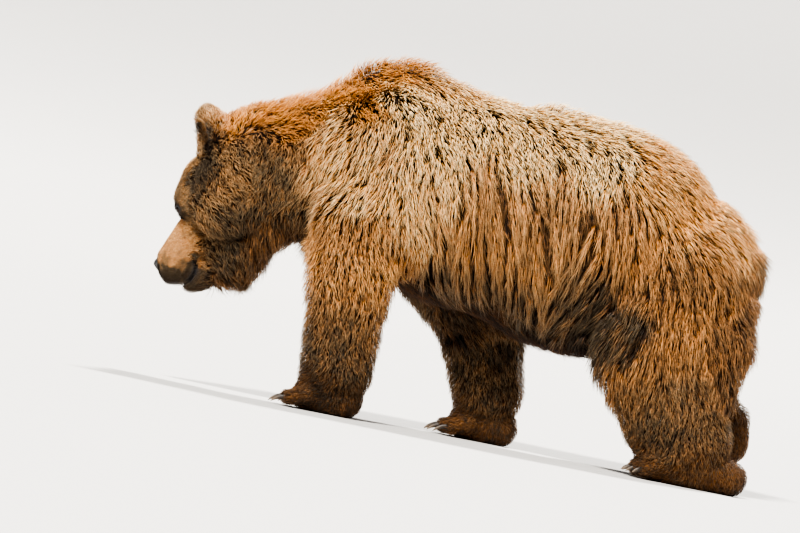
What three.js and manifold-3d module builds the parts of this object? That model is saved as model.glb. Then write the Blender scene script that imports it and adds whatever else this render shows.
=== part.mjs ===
// A brown bear at life size, walking with its head lowered and turned a little to its own right.
// Millimetres, +Z up. The bear faces -X, its left side faces -Y, and its soles lie on the floor.
// Every solid reaches to the tips of the coat. The body is one smooth skin grown round named masses of
// flesh, which is then parted by thin plane cuts into the pieces that a person would name.
import * as THREE from "three";
import { mergeVertices } from "three/addons/utils/BufferGeometryUtils.js";
import Module from "manifold-3d";

const wasm = await Module();
wasm.setup();

const at = (x, y, z) => new THREE.Vector3(x, y, z);
const radians = THREE.MathUtils.degToRad;

/** A cut: the plane through a point, facing along a direction. What it keeps lies behind it. */
const plane = (point, facing) => ({ point, facing: facing.clone().normalize() });
const flipped = ({ point, facing }) => ({ point, facing: facing.clone().negate() });

// ---------------------------------------------------------------- driving sizes

const LEFT = -1;
const RIGHT = 1;
const SIDES = { left: LEFT, right: RIGHT };

const CUT_GAP = 0.4; // clear space left by each cut between two pieces

// How softly the masses of each part run into each other.
const BLEND = { trunk: 70, limbs: 38, head: 30, toes: 14, foot: 22, ear: 18 };

// Sizes of the facets, node by node.
const CELL = { trunk: 66, neck: 52, tail: 28, head: 39, muzzle: 27, nose: 16, ear: 25, upper: 54, lower: 48, paw: 32 };
const FLATNESS = 1.4; // facets that lie this close to one surface are joined
const RIM = 0.3; // where a net ends at its box, this share of a cell is left open

// Each mass is an egg (centre, half sizes, pitch in degrees) or a limb (from, to, and the radii there).
const TRUNK = {
  ribCage: { centre: at(-205, 0, 642), half: at(385, 232, 304), pitch: 3 },
  belly: { centre: at(72, 0, 613), half: at(335, 248, 334) },
  loin: { centre: at(226, 0, 657), half: at(258, 230, 266), pitch: 22 },
  rump: { centre: at(414, 0, 556), half: at(192, 214, 222), pitch: 30 },
  hump: { centre: at(-438, 0, 796), half: at(205, 130, 205), pitch: 9 },
  breast: { centre: at(-538, 0, 615), half: at(138, 160, 182) },
  leftBlade: { centre: at(-440, -118, 660), half: at(185, 112, 250), pitch: -12 },
  rightBlade: { centre: at(-440, 118, 660), half: at(185, 112, 250), pitch: -12 },
  crest: { from: at(-560, 0, 705), fromRadius: 205, to: at(-765, 30, 635), toRadius: 185, squeeze: 0.86 },
  throat: { from: at(-600, 10, 650), fromRadius: 150, to: at(-765, 40, 548), toRadius: 138, squeeze: 0.9 },
};
const TAIL = {
  stump: { from: at(548, 0, 690), fromRadius: 36, to: at(588, 0, 604), toRadius: 30 },
};

// The head's own frame runs along the palate to the nose, out to one side, and up.
const HEAD_PITCH = 43; // degrees that the line of the palate points below the level
const HEAD_YAW = 25; // degrees that the head is turned to the bear's right
const HEAD_LENGTH = 400; // from the nape to the tip of the nose
const NOSE_TIP = at(-1036, 158, 307);

// Masses on the head's middle line, and those that it has on both sides.
const HEAD = {
  cranium: { centre: [95, 0, 48], half: [155, 128, 118] },
  forehead: { centre: [134, 0, 110], half: [88, 92, 72] },
  bridge: { from: [225, 0, 10], fromRadius: 58, to: [356, 0, -18], toRadius: 36 },
  jaw: { from: [155, 0, -72], fromRadius: 88, to: [320, 0, -92], toRadius: 32 },
  beard: { centre: [158, 0, -128], half: [104, 76, 88] },
};
const HEAD_SIDE = {
  cheek: { centre: [102, 88, 0], half: [104, 64, 102] },
  flews: { from: [255, 36, -34], fromRadius: 40, to: [352, 20, -44], toRadius: 34 },
  brow: { centre: [202, 46, 82], half: [46, 38, 46] },
};

const EYE = { centre: [235, 59, 60], radius: 15, meridians: 10, parallels: 8 };
const NOSE = { centre: [368, 0, -8], half: [32, 34, 27] };

// An ear: its middle, the way its cup faces and its stem points, and its half sizes, with the hollow of
// its cup and the depths of the cuts across its stem, behind its back and along its inner side.
const EAR = {
  centre: [21, 112, 182],
  facing: [0.66, 0.75, 0.1],
  stem: [-0.24, 0.27, 0.93],
  half: [44, 70, 80],
  cup: { centre: [55, 146, 186], half: [34, 42, 54], rim: 12 },
  cuts: { stem: 48, back: 42, inner: 62 },
};

// Toes from the inner one to the outer one: their place across the foot and their reach ahead of its ball.
const TOE_FAN = [
  { spread: -0.86, lead: 0.74 },
  { spread: -0.44, lead: 0.95 },
  { spread: 0, lead: 1 },
  { spread: 0.44, lead: 0.93 },
  { spread: 0.86, lead: 0.72 },
];
const TOE = { splay: 0.12, taper: 0.86, sole: 0.4, soleBroad: 1.15, instep: 0.3 };
const CLAW = { root: 8, slim: 0.7, droop: 50, sides: 6, rings: 3, ahead: 14, below: 2 };

// Each leg by its joints, from the body down, its foot by its heel and its ball, and the places of its cuts.
const FORE_FOOT = { width: 128, thick: 26, toe: 58, claw: 46, knuckle: 46, tip: 27 };
const HIND_FOOT = { width: 122, thick: 27, toe: 52, claw: 32, knuckle: 50, tip: 28 };
const LEGS = {
  left_fore: {
    side: LEFT,
    names: ["upper", "lower", "paw"],
    squeeze: 0.76,
    joints: { hip: at(-508, -150, 545), knee: at(-494, -154, 380), ankle: at(-485, -142, 125) },
    radii: { hip: 136, knee: 121, ankle: 103 },
    foot: {
      ...FORE_FOOT,
      turn: 8,
      heel: at(-448, -138, 46),
      heelRadius: 52,
      ball: at(-540, -140, 42),
      instep: 84,
    },
    cuts: {
      body: { point: at(-500, 45, 388), lean: 48 },
      edge: plane(at(-368, 0, 380), at(1, 0, 0.1)),
      knee: plane(at(-480, 0, 318), at(0, 0, -1)),
      ankle: plane(at(-480, 0, 98), at(-0.1, 0, -1)),
    },
  },
  right_fore: {
    side: RIGHT,
    names: ["upper", "lower", "paw"],
    squeeze: 0.76,
    joints: { hip: at(-385, 145, 548), knee: at(-120, 150, 330), ankle: at(-62, 140, 138) },
    radii: { hip: 134, knee: 118, ankle: 101 },
    foot: {
      ...FORE_FOOT,
      turn: 6,
      heel: at(-12, 138, 46),
      heelRadius: 51,
      ball: at(-104, 140, 42),
      instep: 76,
    },
    cuts: {
      body: { point: at(-200, 45, 276), lean: 44 },
      edge: plane(at(8, 0, 300), at(0.64, 0, 0.77)),
      knee: plane(at(-110, 0, 262), at(0.22, 0, -0.97)),
      ankle: plane(at(-66, 0, 98), at(0.05, 0, -1)),
    },
  },
  left_hind: {
    side: LEFT,
    names: ["thigh", "shank", "paw"],
    squeeze: 0.7,
    joints: { hip: at(395, -120, 540), knee: at(352, -152, 345), ankle: at(486, -152, 118) },
    radii: { hip: 186, knee: 168, ankle: 138 },
    ham: { centre: at(474, -118, 395), half: at(166, 104, 165) },
    foot: {
      ...HIND_FOOT,
      turn: -10,
      heel: at(630, -148, 46),
      heelRadius: 50,
      ball: at(430, -156, 42),
      instep: 92,
    },
    cuts: {
      body: { point: at(400, 35, 325), lean: 56 },
      edge: plane(at(165, 0, 290), at(-0.95, 0, 0.3)),
      knee: plane(at(400, 0, 290), at(0.3, 0, -0.95)),
      ankle: plane(at(500, 0, 102), at(0.16, 0, -0.99)),
    },
  },
  right_hind: {
    side: RIGHT,
    names: ["thigh", "shank", "paw"],
    squeeze: 0.7,
    joints: { hip: at(395, 120, 540), knee: at(380, 150, 360), ankle: at(536, 148, 190) },
    radii: { hip: 186, knee: 165, ankle: 104 },
    ham: { centre: at(474, 118, 395), half: at(166, 104, 165) },
    foot: {
      ...HIND_FOOT,
      turn: -8,
      heel: at(614, 146, 145),
      heelRadius: 50,
      ball: at(462, 152, 40),
      instep: 78,
    },
    cuts: {
      body: { point: at(400, 35, 325), lean: 56 },
      edge: plane(at(165, 0, 290), at(-0.95, 0, 0.3)),
      knee: plane(at(400, 0, 300), at(0.3, 0, -0.95)),
      ankle: plane(at(530, 0, 150), at(0.5, 0, -0.87)),
    },
  },
};

// ---------------------------------------------------------------- fields: negative inside, in millimetres

const clamp01 = (t) => Math.min(1, Math.max(0, t));

/** A smooth union of two distances: k is the width of the fillet between them. */
function blend(a, b, k) {
  const h = Math.max(k - Math.abs(a - b), 0) / k;
  return Math.min(a, b) - h * h * k * 0.25;
}

/** An egg with three half sizes, turned by a quaternion. */
function egg(centre, half, turn = new THREE.Quaternion()) {
  const back = turn.clone().invert();
  const q = new THREE.Vector3();
  return (p) => {
    q.copy(p).sub(centre).applyQuaternion(back);
    const k0 = Math.hypot(q.x / half.x, q.y / half.y, q.z / half.z);
    const k1 = Math.hypot(q.x / half.x ** 2, q.y / half.y ** 2, q.z / half.z ** 2);
    return k1 < 1e-9 ? -Math.min(half.x, half.y, half.z) : (k0 * (k0 - 1)) / k1;
  };
}

/** A limb from a to b, round at both ends, squeezed sideways about its own middle by a share. */
function limb(a, radiusA, b, radiusB, squeeze = 1) {
  const axis = b.clone().sub(a);
  const reach = axis.lengthSq();
  const q = new THREE.Vector3();
  return (p) => {
    q.copy(p).sub(a);
    const t = clamp01(q.dot(axis) / reach);
    q.addScaledVector(axis, -t);
    q.y /= squeeze;
    return (q.length() - (radiusA + (radiusB - radiusA) * t)) * squeeze;
  };
}

const FAR_AWAY = 1e4;

/** All of a list of fields, run together with the same fillet. */
const grown = (fields, k) => (p) => fields.reduce((d, field) => blend(d, field(p), k), FAR_AWAY);

/** A field with another one hollowed out of it, with a soft rim. */
const hollowed = (field, tool, k) => (p) => -blend(-field(p), tool(p), k);

const pitched = (degrees) => new THREE.Quaternion().setFromAxisAngle(at(0, 1, 0), radians(degrees));

/** The field of one mass of a table: an egg, or a limb. */
const massField = ({ centre, half, pitch = 0, from, fromRadius, to, toRadius, squeeze }) =>
  half ? egg(centre, half, pitched(pitch)) : limb(from, fromRadius, to, toRadius, squeeze);

const massFields = (table) => Object.values(table).map(massField);

// ---------------------------------------------------------------- head, in its own frame

function headPlacement() {
  const level = at(-Math.cos(radians(HEAD_YAW)), Math.sin(radians(HEAD_YAW)), 0);
  const [down, ahead] = [Math.sin(radians(HEAD_PITCH)), Math.cos(radians(HEAD_PITCH))];
  const along = level.clone().multiplyScalar(ahead).add(at(0, 0, -down));
  const up = level.clone().multiplyScalar(down).add(at(0, 0, ahead));
  const nape = NOSE_TIP.clone().addScaledVector(along, -HEAD_LENGTH);
  return new THREE.Matrix4().makeBasis(along, up.clone().cross(along), up).setPosition(nape);
}

const headMatrix = headPlacement();
const headTurn = new THREE.Quaternion().setFromRotationMatrix(headMatrix);

/** A place on the head, out to the given side of it. */
const onHead = (along, out, up, side = LEFT) => at(along, -side * out, up).applyMatrix4(headMatrix);
const headDirection = (along, out, up, side = LEFT) =>
  at(along, -side * out, up).applyQuaternion(headTurn).normalize();
const headEgg = (centre, half, side = LEFT, turn = headTurn) => egg(onHead(...centre, side), at(...half), turn);

const headMass = (side) => (mass) =>
  mass.half
    ? headEgg(mass.centre, mass.half, side)
    : limb(onHead(...mass.from, side), mass.fromRadius, onHead(...mass.to, side), mass.toRadius);

const headMasses = () => [
  ...Object.values(HEAD).map(headMass(LEFT)),
  ...Object.values(SIDES).flatMap((side) => Object.values(HEAD_SIDE).map(headMass(side))),
];

/** A turn whose X faces along one direction and whose Z lies as near as can be to another. */
function facingTurn(facing, stem) {
  const out = stem.clone().cross(facing).normalize();
  const basis = new THREE.Matrix4().makeBasis(facing, out, facing.clone().cross(out));
  return new THREE.Quaternion().setFromRotationMatrix(basis);
}

function earField(side) {
  const { centre, facing, stem, half, cup } = EAR;
  const turn = facingTurn(headDirection(...facing, side), headDirection(...stem, side));
  return hollowed(headEgg(centre, half, side, turn), headEgg(cup.centre, cup.half, side, turn), cup.rim);
}

// ---------------------------------------------------------------- legs

function legMasses({ joints, radii, squeeze, ham }) {
  const { hip, knee, ankle } = joints;
  const bones = [
    limb(hip, radii.hip, knee, radii.knee, squeeze),
    limb(knee, radii.knee, ankle, radii.ankle, squeeze),
  ];
  return ham ? [...bones, massField(ham)] : bones;
}

/** The places of a foot's five toes: from the knuckle to the tip, the middle one the longest. */
function toesOf({ side, foot }) {
  const inward = radians(foot.turn) * side;
  const ahead = at(-Math.cos(inward), -Math.sin(inward), 0);
  const outward = at(-ahead.y, ahead.x, 0);
  return TOE_FAN.map(({ spread, lead }, index) => {
    const aside = outward.clone().multiplyScalar((spread * foot.width) / 2);
    const knuckle = foot.ball.clone().add(aside).setZ(foot.knuckle);
    const tip = knuckle.clone().addScaledVector(ahead, foot.toe * lead).addScaledVector(aside, TOE.splay);
    return { number: index + 1, knuckle, tip: tip.setZ(foot.tip) };
  });
}

function footMasses(leg) {
  const { foot, joints } = leg;
  return [
    limb(foot.heel, foot.heelRadius, foot.ball, foot.width * TOE.sole, TOE.soleBroad),
    limb(joints.ankle, foot.instep, foot.ball, foot.width * TOE.instep),
    ...toesOf(leg).map(({ knuckle, tip }) => limb(knuckle, foot.thick, tip, foot.thick * TOE.taper)),
  ];
}

const legField = (leg) =>
  grown([grown(legMasses(leg), BLEND.limbs), grown(footMasses(leg), BLEND.toes)], BLEND.foot);

// ---------------------------------------------------------------- the whole body

const bodyField = grown(
  [
    grown(massFields(TRUNK), BLEND.trunk),
    grown(headMasses(), BLEND.head),
    grown(massFields(TAIL), BLEND.limbs),
    ...Object.values(LEGS).map(legField),
  ],
  BLEND.limbs,
);
const earFields = Object.values(SIDES).map(earField);
const wholeField = (p) => blend(bodyField(p), Math.min(...earFields.map((ear) => ear(p))), BLEND.ear);

// ---------------------------------------------------------------- nets: a closed skin over a field

const AXES = [0, 1, 2];
const CORNERS = [0, 1, 2, 3, 4, 5, 6, 7].map((corner) => AXES.map((axis) => (corner >> axis) & 1));
const EDGES = CORNERS.flatMap((_, corner) =>
  AXES.filter((axis) => !((corner >> axis) & 1)).map((axis) => [corner, corner | (1 << axis)]),
);
const edgeNumber = (a, b) => EDGES.findIndex(([from, to]) => from === Math.min(a, b) && to === Math.max(a, b));

/** The six faces of a cell, each as its four corners in a ring. */
const FACES = AXES.flatMap((axis) => {
  const [u, v] = [1 << ((axis + 1) % 3), 1 << ((axis + 2) % 3)];
  return [0, 1 << axis].map((base) => [base, base | u, base | u | v, base | v]);
});

/** Sorts a cell's crossed edges into the separate sheets that pass through it. */
function sheetsIn(inside) {
  const sheet = EDGES.map(([a, b], edge) => (inside[a] === inside[b] ? -1 : edge));
  const join = (a, b) => {
    const [from, to] = [sheet[a], sheet[b]];
    sheet.forEach((value, edge) => {
      if (value === from) sheet[edge] = to;
    });
  };
  for (const ring of FACES) {
    const edges = ring.map((corner, i) => edgeNumber(corner, ring[(i + 1) % 4]));
    const crossed = edges.filter((edge) => sheet[edge] >= 0);
    if (crossed.length === 2) join(...crossed);
    if (crossed.length === 4) ring.forEach((corner, i) => inside[corner] && join(edges[(i + 3) % 4], edges[i]));
  }
  return sheet;
}

/** Dual net of the surface where field is 0, inside box, with cells of the given size. */
function net(field, box, cell) {
  const size = box.getSize(at(0, 0, 0));
  const n = [size.x, size.y, size.z].map((s) => Math.max(2, Math.ceil(s / cell)) + 1);
  const place = (i, j, k) => at(box.min.x + i * cell, box.min.y + j * cell, box.min.z + k * cell);
  const index = (i, j, k) => (k * n[1] + j) * n[0] + i;
  const eachCell = (from, visit) => {
    for (let k = from; k < n[2] - 1; k++)
      for (let j = from; j < n[1] - 1; j++) for (let i = from; i < n[0] - 1; i++) visit(i, j, k);
  };

  const value = new Float64Array(n[0] * n[1] * n[2]).fill(cell * RIM);
  eachCell(1, (i, j, k) => {
    value[index(i, j, k)] = field(place(i, j, k));
  });

  const vertices = [];
  const vertexOf = new Int32Array(value.length * EDGES.length).fill(-1);
  eachCell(0, (i, j, k) => {
    const values = CORNERS.map(([di, dj, dk]) => value[index(i + di, j + dj, k + dk)]);
    const sheet = sheetsIn(values.map((v) => v < 0));
    for (const label of new Set(sheet.filter((mark) => mark >= 0))) {
      const sum = at(0, 0, 0);
      const members = EDGES.map((_, edge) => edge).filter((edge) => sheet[edge] === label);
      for (const edge of members) {
        const [a, b] = EDGES[edge];
        const [from, to] = [a, b].map((corner) => {
          const [di, dj, dk] = CORNERS[corner];
          return place(i + di, j + dj, k + dk);
        });
        sum.add(from.lerp(to, values[a] / (values[a] - values[b])));
        vertexOf[index(i, j, k) * EDGES.length + edge] = vertices.length;
      }
      vertices.push(sum.divideScalar(members.length));
    }
  });

  const triangles = [];
  const quad = (a, b, c, d) => {
    const short = vertices[a].distanceToSquared(vertices[c]) <= vertices[b].distanceToSquared(vertices[d]);
    triangles.push(...(short ? [a, b, c, a, c, d] : [b, c, d, b, d, a]));
  };
  eachCell(0, (i, j, k) => {
    for (const axis of AXES) {
      const [di, dj, dk] = CORNERS[1 << axis];
      const here = value[index(i, j, k)] < 0;
      if (here === value[index(i + di, j + dj, k + dk)] < 0) continue;
      const [u, v] = [1 << ((axis + 1) % 3), 1 << ((axis + 2) % 3)];
      const around = [0, u, u | v, v].map((corner) => {
        const [ci, cj, ck] = CORNERS[corner];
        return vertexOf[index(i - ci, j - cj, k - ck) * EDGES.length + edgeNumber(corner, corner | (1 << axis))];
      });
      if (here) quad(...around);
      else quad(...around.reverse());
    }
  });
  return { vertices, triangles };
}

const SETTLE = { rounds: 3, step: 0.05, leastSlope: 0.2, furthest: 1 / 3 };

/** Pulls each vertex of a net onto the surface itself, by at most a share of a cell. */
function settle(field, vertices, cell) {
  const step = cell * SETTLE.step;
  for (const vertex of vertices) {
    const start = vertex.clone();
    for (let round = 0; round < SETTLE.rounds; round++) {
      const d = field(vertex);
      const slope = at(
        field(at(vertex.x + step, vertex.y, vertex.z)) - field(at(vertex.x - step, vertex.y, vertex.z)),
        field(at(vertex.x, vertex.y + step, vertex.z)) - field(at(vertex.x, vertex.y - step, vertex.z)),
        field(at(vertex.x, vertex.y, vertex.z + step)) - field(at(vertex.x, vertex.y, vertex.z - step)),
      ).divideScalar(2 * step);
      vertex.addScaledVector(slope, -d / Math.max(slope.lengthSq(), SETTLE.leastSlope));
    }
    const moved = vertex.clone().sub(start);
    vertex.copy(start).add(moved.clampLength(0, cell * SETTLE.furthest));
  }
}

// ---------------------------------------------------------------- solids and cuts

const solidFrom = (vertProperties, triVerts) =>
  new wasm.Manifold(new wasm.Mesh({ numProp: 3, vertProperties, triVerts }));

function solidFromNet(field, box, cell) {
  const { vertices, triangles } = net(field, box, cell);
  settle(field, vertices, cell);
  return solidFrom(new Float32Array(vertices.flatMap((v) => v.toArray())), new Uint32Array(triangles));
}

const WELD = 1e-3; // vertices closer than this are one

function solidFromGeometry(geometry) {
  const bare = geometry.clone();
  bare.deleteAttribute("normal");
  bare.deleteAttribute("uv");
  const merged = mergeVertices(bare, WELD);
  return solidFrom(merged.attributes.position.array, new Uint32Array(merged.index.array));
}

function geometryFromSolid(solid) {
  const mesh = solid.getMesh();
  const geometry = new THREE.BufferGeometry();
  geometry.setAttribute("position", new THREE.BufferAttribute(new Float32Array(mesh.vertProperties), 3));
  geometry.setIndex(new THREE.BufferAttribute(new Uint32Array(mesh.triVerts), 1));
  geometry.computeVertexNormals();
  return geometry;
}

const REACH = 5000; // larger than the animal, for the blocks that cut it

/** The block of all that lies a given depth behind a plane. */
function blockBehind({ point, facing }, depth) {
  const geometry = new THREE.BoxGeometry(REACH, REACH, REACH);
  geometry.translate(0, 0, -REACH / 2 - depth);
  geometry.applyQuaternion(new THREE.Quaternion().setFromUnitVectors(at(0, 0, 1), facing));
  geometry.translate(point.x, point.y, point.z);
  return solidFromGeometry(geometry);
}

/** The wedge behind all of a list of planes. */
const wedge = (planes, depth) =>
  planes.map((cut) => blockBehind(cut, depth)).reduce((left, right) => left.intersect(right));

const within = (solid, planes) => solid.intersect(wedge(planes, CUT_GAP / 2));
const without = (solid, planes) => solid.subtract(wedge(planes, -CUT_GAP / 2));

// ---------------------------------------------------------------- where the body is parted

const FLOOR = plane(at(0, 0, 0), at(0, 0, -1));
const NAPE = plane(onHead(-20, 0, 0), headDirection(-1, 0, 0));
const NECK_ROOT = plane(at(-640, 0, 650), at(-1, 0, 0));
const MOUTH = plane(onHead(280, 0, -80), headDirection(0.03, 0, 1));

const JAW_WEDGE = [MOUTH, plane(onHead(165, 0, 0), headDirection(-1, 0, 0))];
const MUZZLE_WEDGE = [flipped(MOUTH), plane(onHead(240, 0, 0), headDirection(-1, 0, 0.25))];
const NOSE_WEDGE = [
  plane(onHead(362, 0, 0), headDirection(-1, 0, 0)),
  plane(onHead(362, 0, -36), headDirection(0, 0, -1)),
];
const TAIL_WEDGE = [
  plane(at(576, 0, 640), at(-1, 0, -0.12)),
  plane(at(576, 44, 640), at(0, 1, 0)),
  plane(at(576, -44, 640), at(0, -1, 0)),
  plane(at(576, 0, 566), at(0, 0, -1)),
  plane(at(576, 0, 728), at(0, 0, 1)),
];

/** The planes that set an ear off from the head: across its stem, behind its back and along its inner side. */
function earWedge(side) {
  const centre = onHead(...EAR.centre, side);
  return [
    { direction: headDirection(...EAR.stem, side), depth: EAR.cuts.stem },
    { direction: headDirection(...EAR.facing, side), depth: EAR.cuts.back },
    { direction: headDirection(0, 1, 0, side), depth: EAR.cuts.inner },
  ].map(({ direction, depth }) =>
    plane(centre.clone().addScaledVector(direction, -depth), direction.clone().negate()),
  );
}

/** The planes that set a whole leg off from the trunk: a leaning one above it, an edge, and the middle. */
function legWedge({ side, cuts }) {
  const { point, lean } = cuts.body;
  return [
    plane(at(point.x, side * point.y, point.z), at(0, -side * Math.sin(radians(lean)), Math.cos(radians(lean)))),
    cuts.edge,
    plane(at(0, 0, 0), at(0, -side, 0)),
  ];
}

const EAR_WEDGES = Object.values(SIDES).map(earWedge);
const LEG_WEDGES = Object.values(LEGS).map(legWedge);

/** One named piece of the body: its own net of the whole, inside the given planes and outside the wedges. */
function fleshPiece({ box, cell, inside, outside = [] }) {
  const solid = solidFromNet(wholeField, box, cell);
  const kept = within(solid, [...inside, FLOOR]);
  return outside.reduce(without, kept).simplify(FLATNESS);
}

const boxAround = (points, margin) => new THREE.Box3().setFromPoints(points).expandByScalar(margin);

/** A piece with room left in it for the eyes or claws that are set into it. */
const withSockets = (solid, sockets) => sockets.reduce((left, socket) => left.subtract(socket), solid);

// ---------------------------------------------------------------- colours

const finish = (color, roughness) => () => new THREE.MeshStandardMaterial({ color, roughness, metalness: 0 });

const FINISHES = {
  back: finish(0x6a4526, 0.95),
  crest: finish(0x70451f, 0.95),
  face: finish(0x5b3a22, 0.92),
  muzzle: finish(0x8a6a4c, 0.9),
  leg: finish(0x3f2717, 0.95),
  nose: finish(0x1c1a1b, 0.45),
  eye: finish(0x120b07, 0.12),
  claw: finish(0x2c2520, 0.5),
};

const bear = new THREE.Group();

function addPiece(name, shape, material) {
  const mesh = new THREE.Mesh(shape.isBufferGeometry ? shape : geometryFromSolid(shape), material());
  mesh.name = name;
  bear.add(mesh);
}

// ---------------------------------------------------------------- trunk, neck and tail

function addTrunk() {
  const trunk = fleshPiece({
    box: new THREE.Box3(at(-760, -340, 180), at(680, 340, 1080)),
    cell: CELL.trunk,
    inside: [NECK_ROOT],
    outside: [TAIL_WEDGE, ...LEG_WEDGES],
  });
  addPiece("trunk", trunk, FINISHES.back);
}

function addNeck() {
  const neck = fleshPiece({
    box: new THREE.Box3(at(-980, -260, 330), at(-560, 300, 1060)),
    cell: CELL.neck,
    inside: [flipped(NECK_ROOT), flipped(NAPE)],
    outside: [...EAR_WEDGES, ...LEG_WEDGES],
  });
  addPiece("neck", neck, FINISHES.crest);
}

function addTail() {
  const { from, to, fromRadius } = TAIL.stump;
  const tail = fleshPiece({ box: boxAround([from, to], 2 * fromRadius), cell: CELL.tail, inside: TAIL_WEDGE });
  addPiece("tail", tail, FINISHES.back);
}

// ---------------------------------------------------------------- head

function eyeball(centre, grow = 0) {
  const geometry = new THREE.SphereGeometry(EYE.radius + grow, EYE.meridians, EYE.parallels);
  return geometry.translate(centre.x, centre.y, centre.z);
}

function addFace() {
  const eyes = Object.entries(SIDES).map(([name, side]) => ({ name, centre: onHead(...EYE.centre, side) }));
  const sockets = eyes.map(({ centre }) => solidFromGeometry(eyeball(centre, CUT_GAP)));
  const head = fleshPiece({
    box: boxAround([onHead(-60, 0, 0), NOSE_TIP], 270),
    cell: CELL.head,
    inside: [NAPE, flipped(NECK_ROOT)],
    outside: [...EAR_WEDGES, ...LEG_WEDGES, MUZZLE_WEDGE, JAW_WEDGE],
  });
  addPiece("head", withSockets(head, sockets), FINISHES.face);
  for (const { name, centre } of eyes) addPiece(`${name}_eye`, eyeball(centre), FINISHES.eye);
}

function addMuzzle() {
  const muzzle = fleshPiece({
    box: boxAround([onHead(220, 0, -60), NOSE_TIP], 110),
    cell: CELL.muzzle,
    inside: MUZZLE_WEDGE,
    outside: [NOSE_WEDGE],
  });
  addPiece("muzzle", muzzle, FINISHES.muzzle);

  const jaw = fleshPiece({
    box: boxAround([onHead(150, 0, -140), onHead(360, 0, -90)], 130),
    cell: CELL.muzzle,
    inside: JAW_WEDGE,
  });
  addPiece("lower_jaw", jaw, FINISHES.muzzle);

  const noseBox = boxAround([onHead(...NOSE.centre)], 2 * NOSE.half[0]);
  const nose = within(solidFromNet(headEgg(NOSE.centre, NOSE.half), noseBox, CELL.nose), NOSE_WEDGE);
  addPiece("nose", nose, FINISHES.nose);
}

function addEars() {
  for (const [name, side] of Object.entries(SIDES)) {
    const box = boxAround([onHead(...EAR.centre, side)], 105);
    addPiece(`${name}_ear`, fleshPiece({ box, cell: CELL.ear, inside: earWedge(side) }), FINISHES.crest);
  }
}

// ---------------------------------------------------------------- legs and claws

/** A claw at a toe: a slim cone bent down along its length, with its root sunk into the toe. */
function clawGeometry({ knuckle, tip }, length, grow = 0) {
  const geometry = new THREE.ConeGeometry(CLAW.root + grow, length + grow, CLAW.sides, CLAW.rings);
  geometry.rotateZ(-Math.PI / 2);
  geometry.translate(length / 2, 0, 0);
  const radius = length / radians(CLAW.droop);
  const position = geometry.attributes.position;
  for (let i = 0; i < position.count; i++) {
    const turn = position.getX(i) / radius;
    const reach = radius + position.getZ(i);
    position.setXYZ(i, reach * Math.sin(turn), position.getY(i) * CLAW.slim, reach * Math.cos(turn) - radius);
  }
  const pointing = tip.clone().sub(knuckle).setZ(0).normalize();
  const basis = new THREE.Matrix4().makeBasis(pointing, at(-pointing.y, pointing.x, 0), at(0, 0, 1));
  basis.setPosition(tip.clone().addScaledVector(pointing, CLAW.ahead).add(at(0, 0, -CLAW.below)));
  return geometry.applyMatrix4(basis);
}

function addLeg(name, leg) {
  const [upper, lower, paw] = leg.names.map((part) => `${name}_${part}`);
  const { joints, radii, cuts, foot } = leg;
  const whole = legWedge(leg);
  const upperLeg = fleshPiece({
    box: boxAround([joints.hip, joints.knee], 1.5 * radii.hip),
    cell: CELL.upper,
    inside: [...whole, cuts.knee],
  });
  addPiece(upper, upperLeg, FINISHES.back);

  const lowerLeg = fleshPiece({
    box: boxAround([joints.knee, joints.ankle], 1.5 * radii.knee),
    cell: CELL.lower,
    inside: [...whole, flipped(cuts.knee), cuts.ankle],
  });
  addPiece(lower, lowerLeg, FINISHES.leg);

  const toes = toesOf(leg);
  const sockets = toes.map((toe) => solidFromGeometry(clawGeometry(toe, foot.claw, CUT_GAP)));
  const flesh = fleshPiece({
    box: boxAround([foot.heel, foot.ball, ...toes.map(({ tip }) => tip)], 95),
    cell: CELL.paw,
    inside: [...whole, flipped(cuts.ankle)],
  });
  addPiece(paw, withSockets(flesh, sockets), FINISHES.leg);
  for (const toe of toes) addPiece(`${name}_claw_${toe.number}`, clawGeometry(toe, foot.claw), FINISHES.claw);
}

addTrunk();
addNeck();
addTail();
addFace();
addMuzzle();
addEars();
for (const [name, leg] of Object.entries(LEGS)) addLeg(name, leg);

// The origin is on the floor, under the middle of the animal.
const extent = new THREE.Box3().setFromObject(bear);
const middle = extent.getCenter(at(0, 0, 0));
bear.position.set(-middle.x, -middle.y, -extent.min.z);

export default bear;
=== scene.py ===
"""A life-size brown bear, walking with its head lowered: its skin, coat, eyes, nose and claws."""

import sys
import logging
import math
from collections.abc import Callable, Sequence
from dataclasses import dataclass
from enum import Enum

import bmesh
import bpy
import numpy as np
from mathutils import Matrix, Vector
from mathutils.kdtree import KDTree


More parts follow.
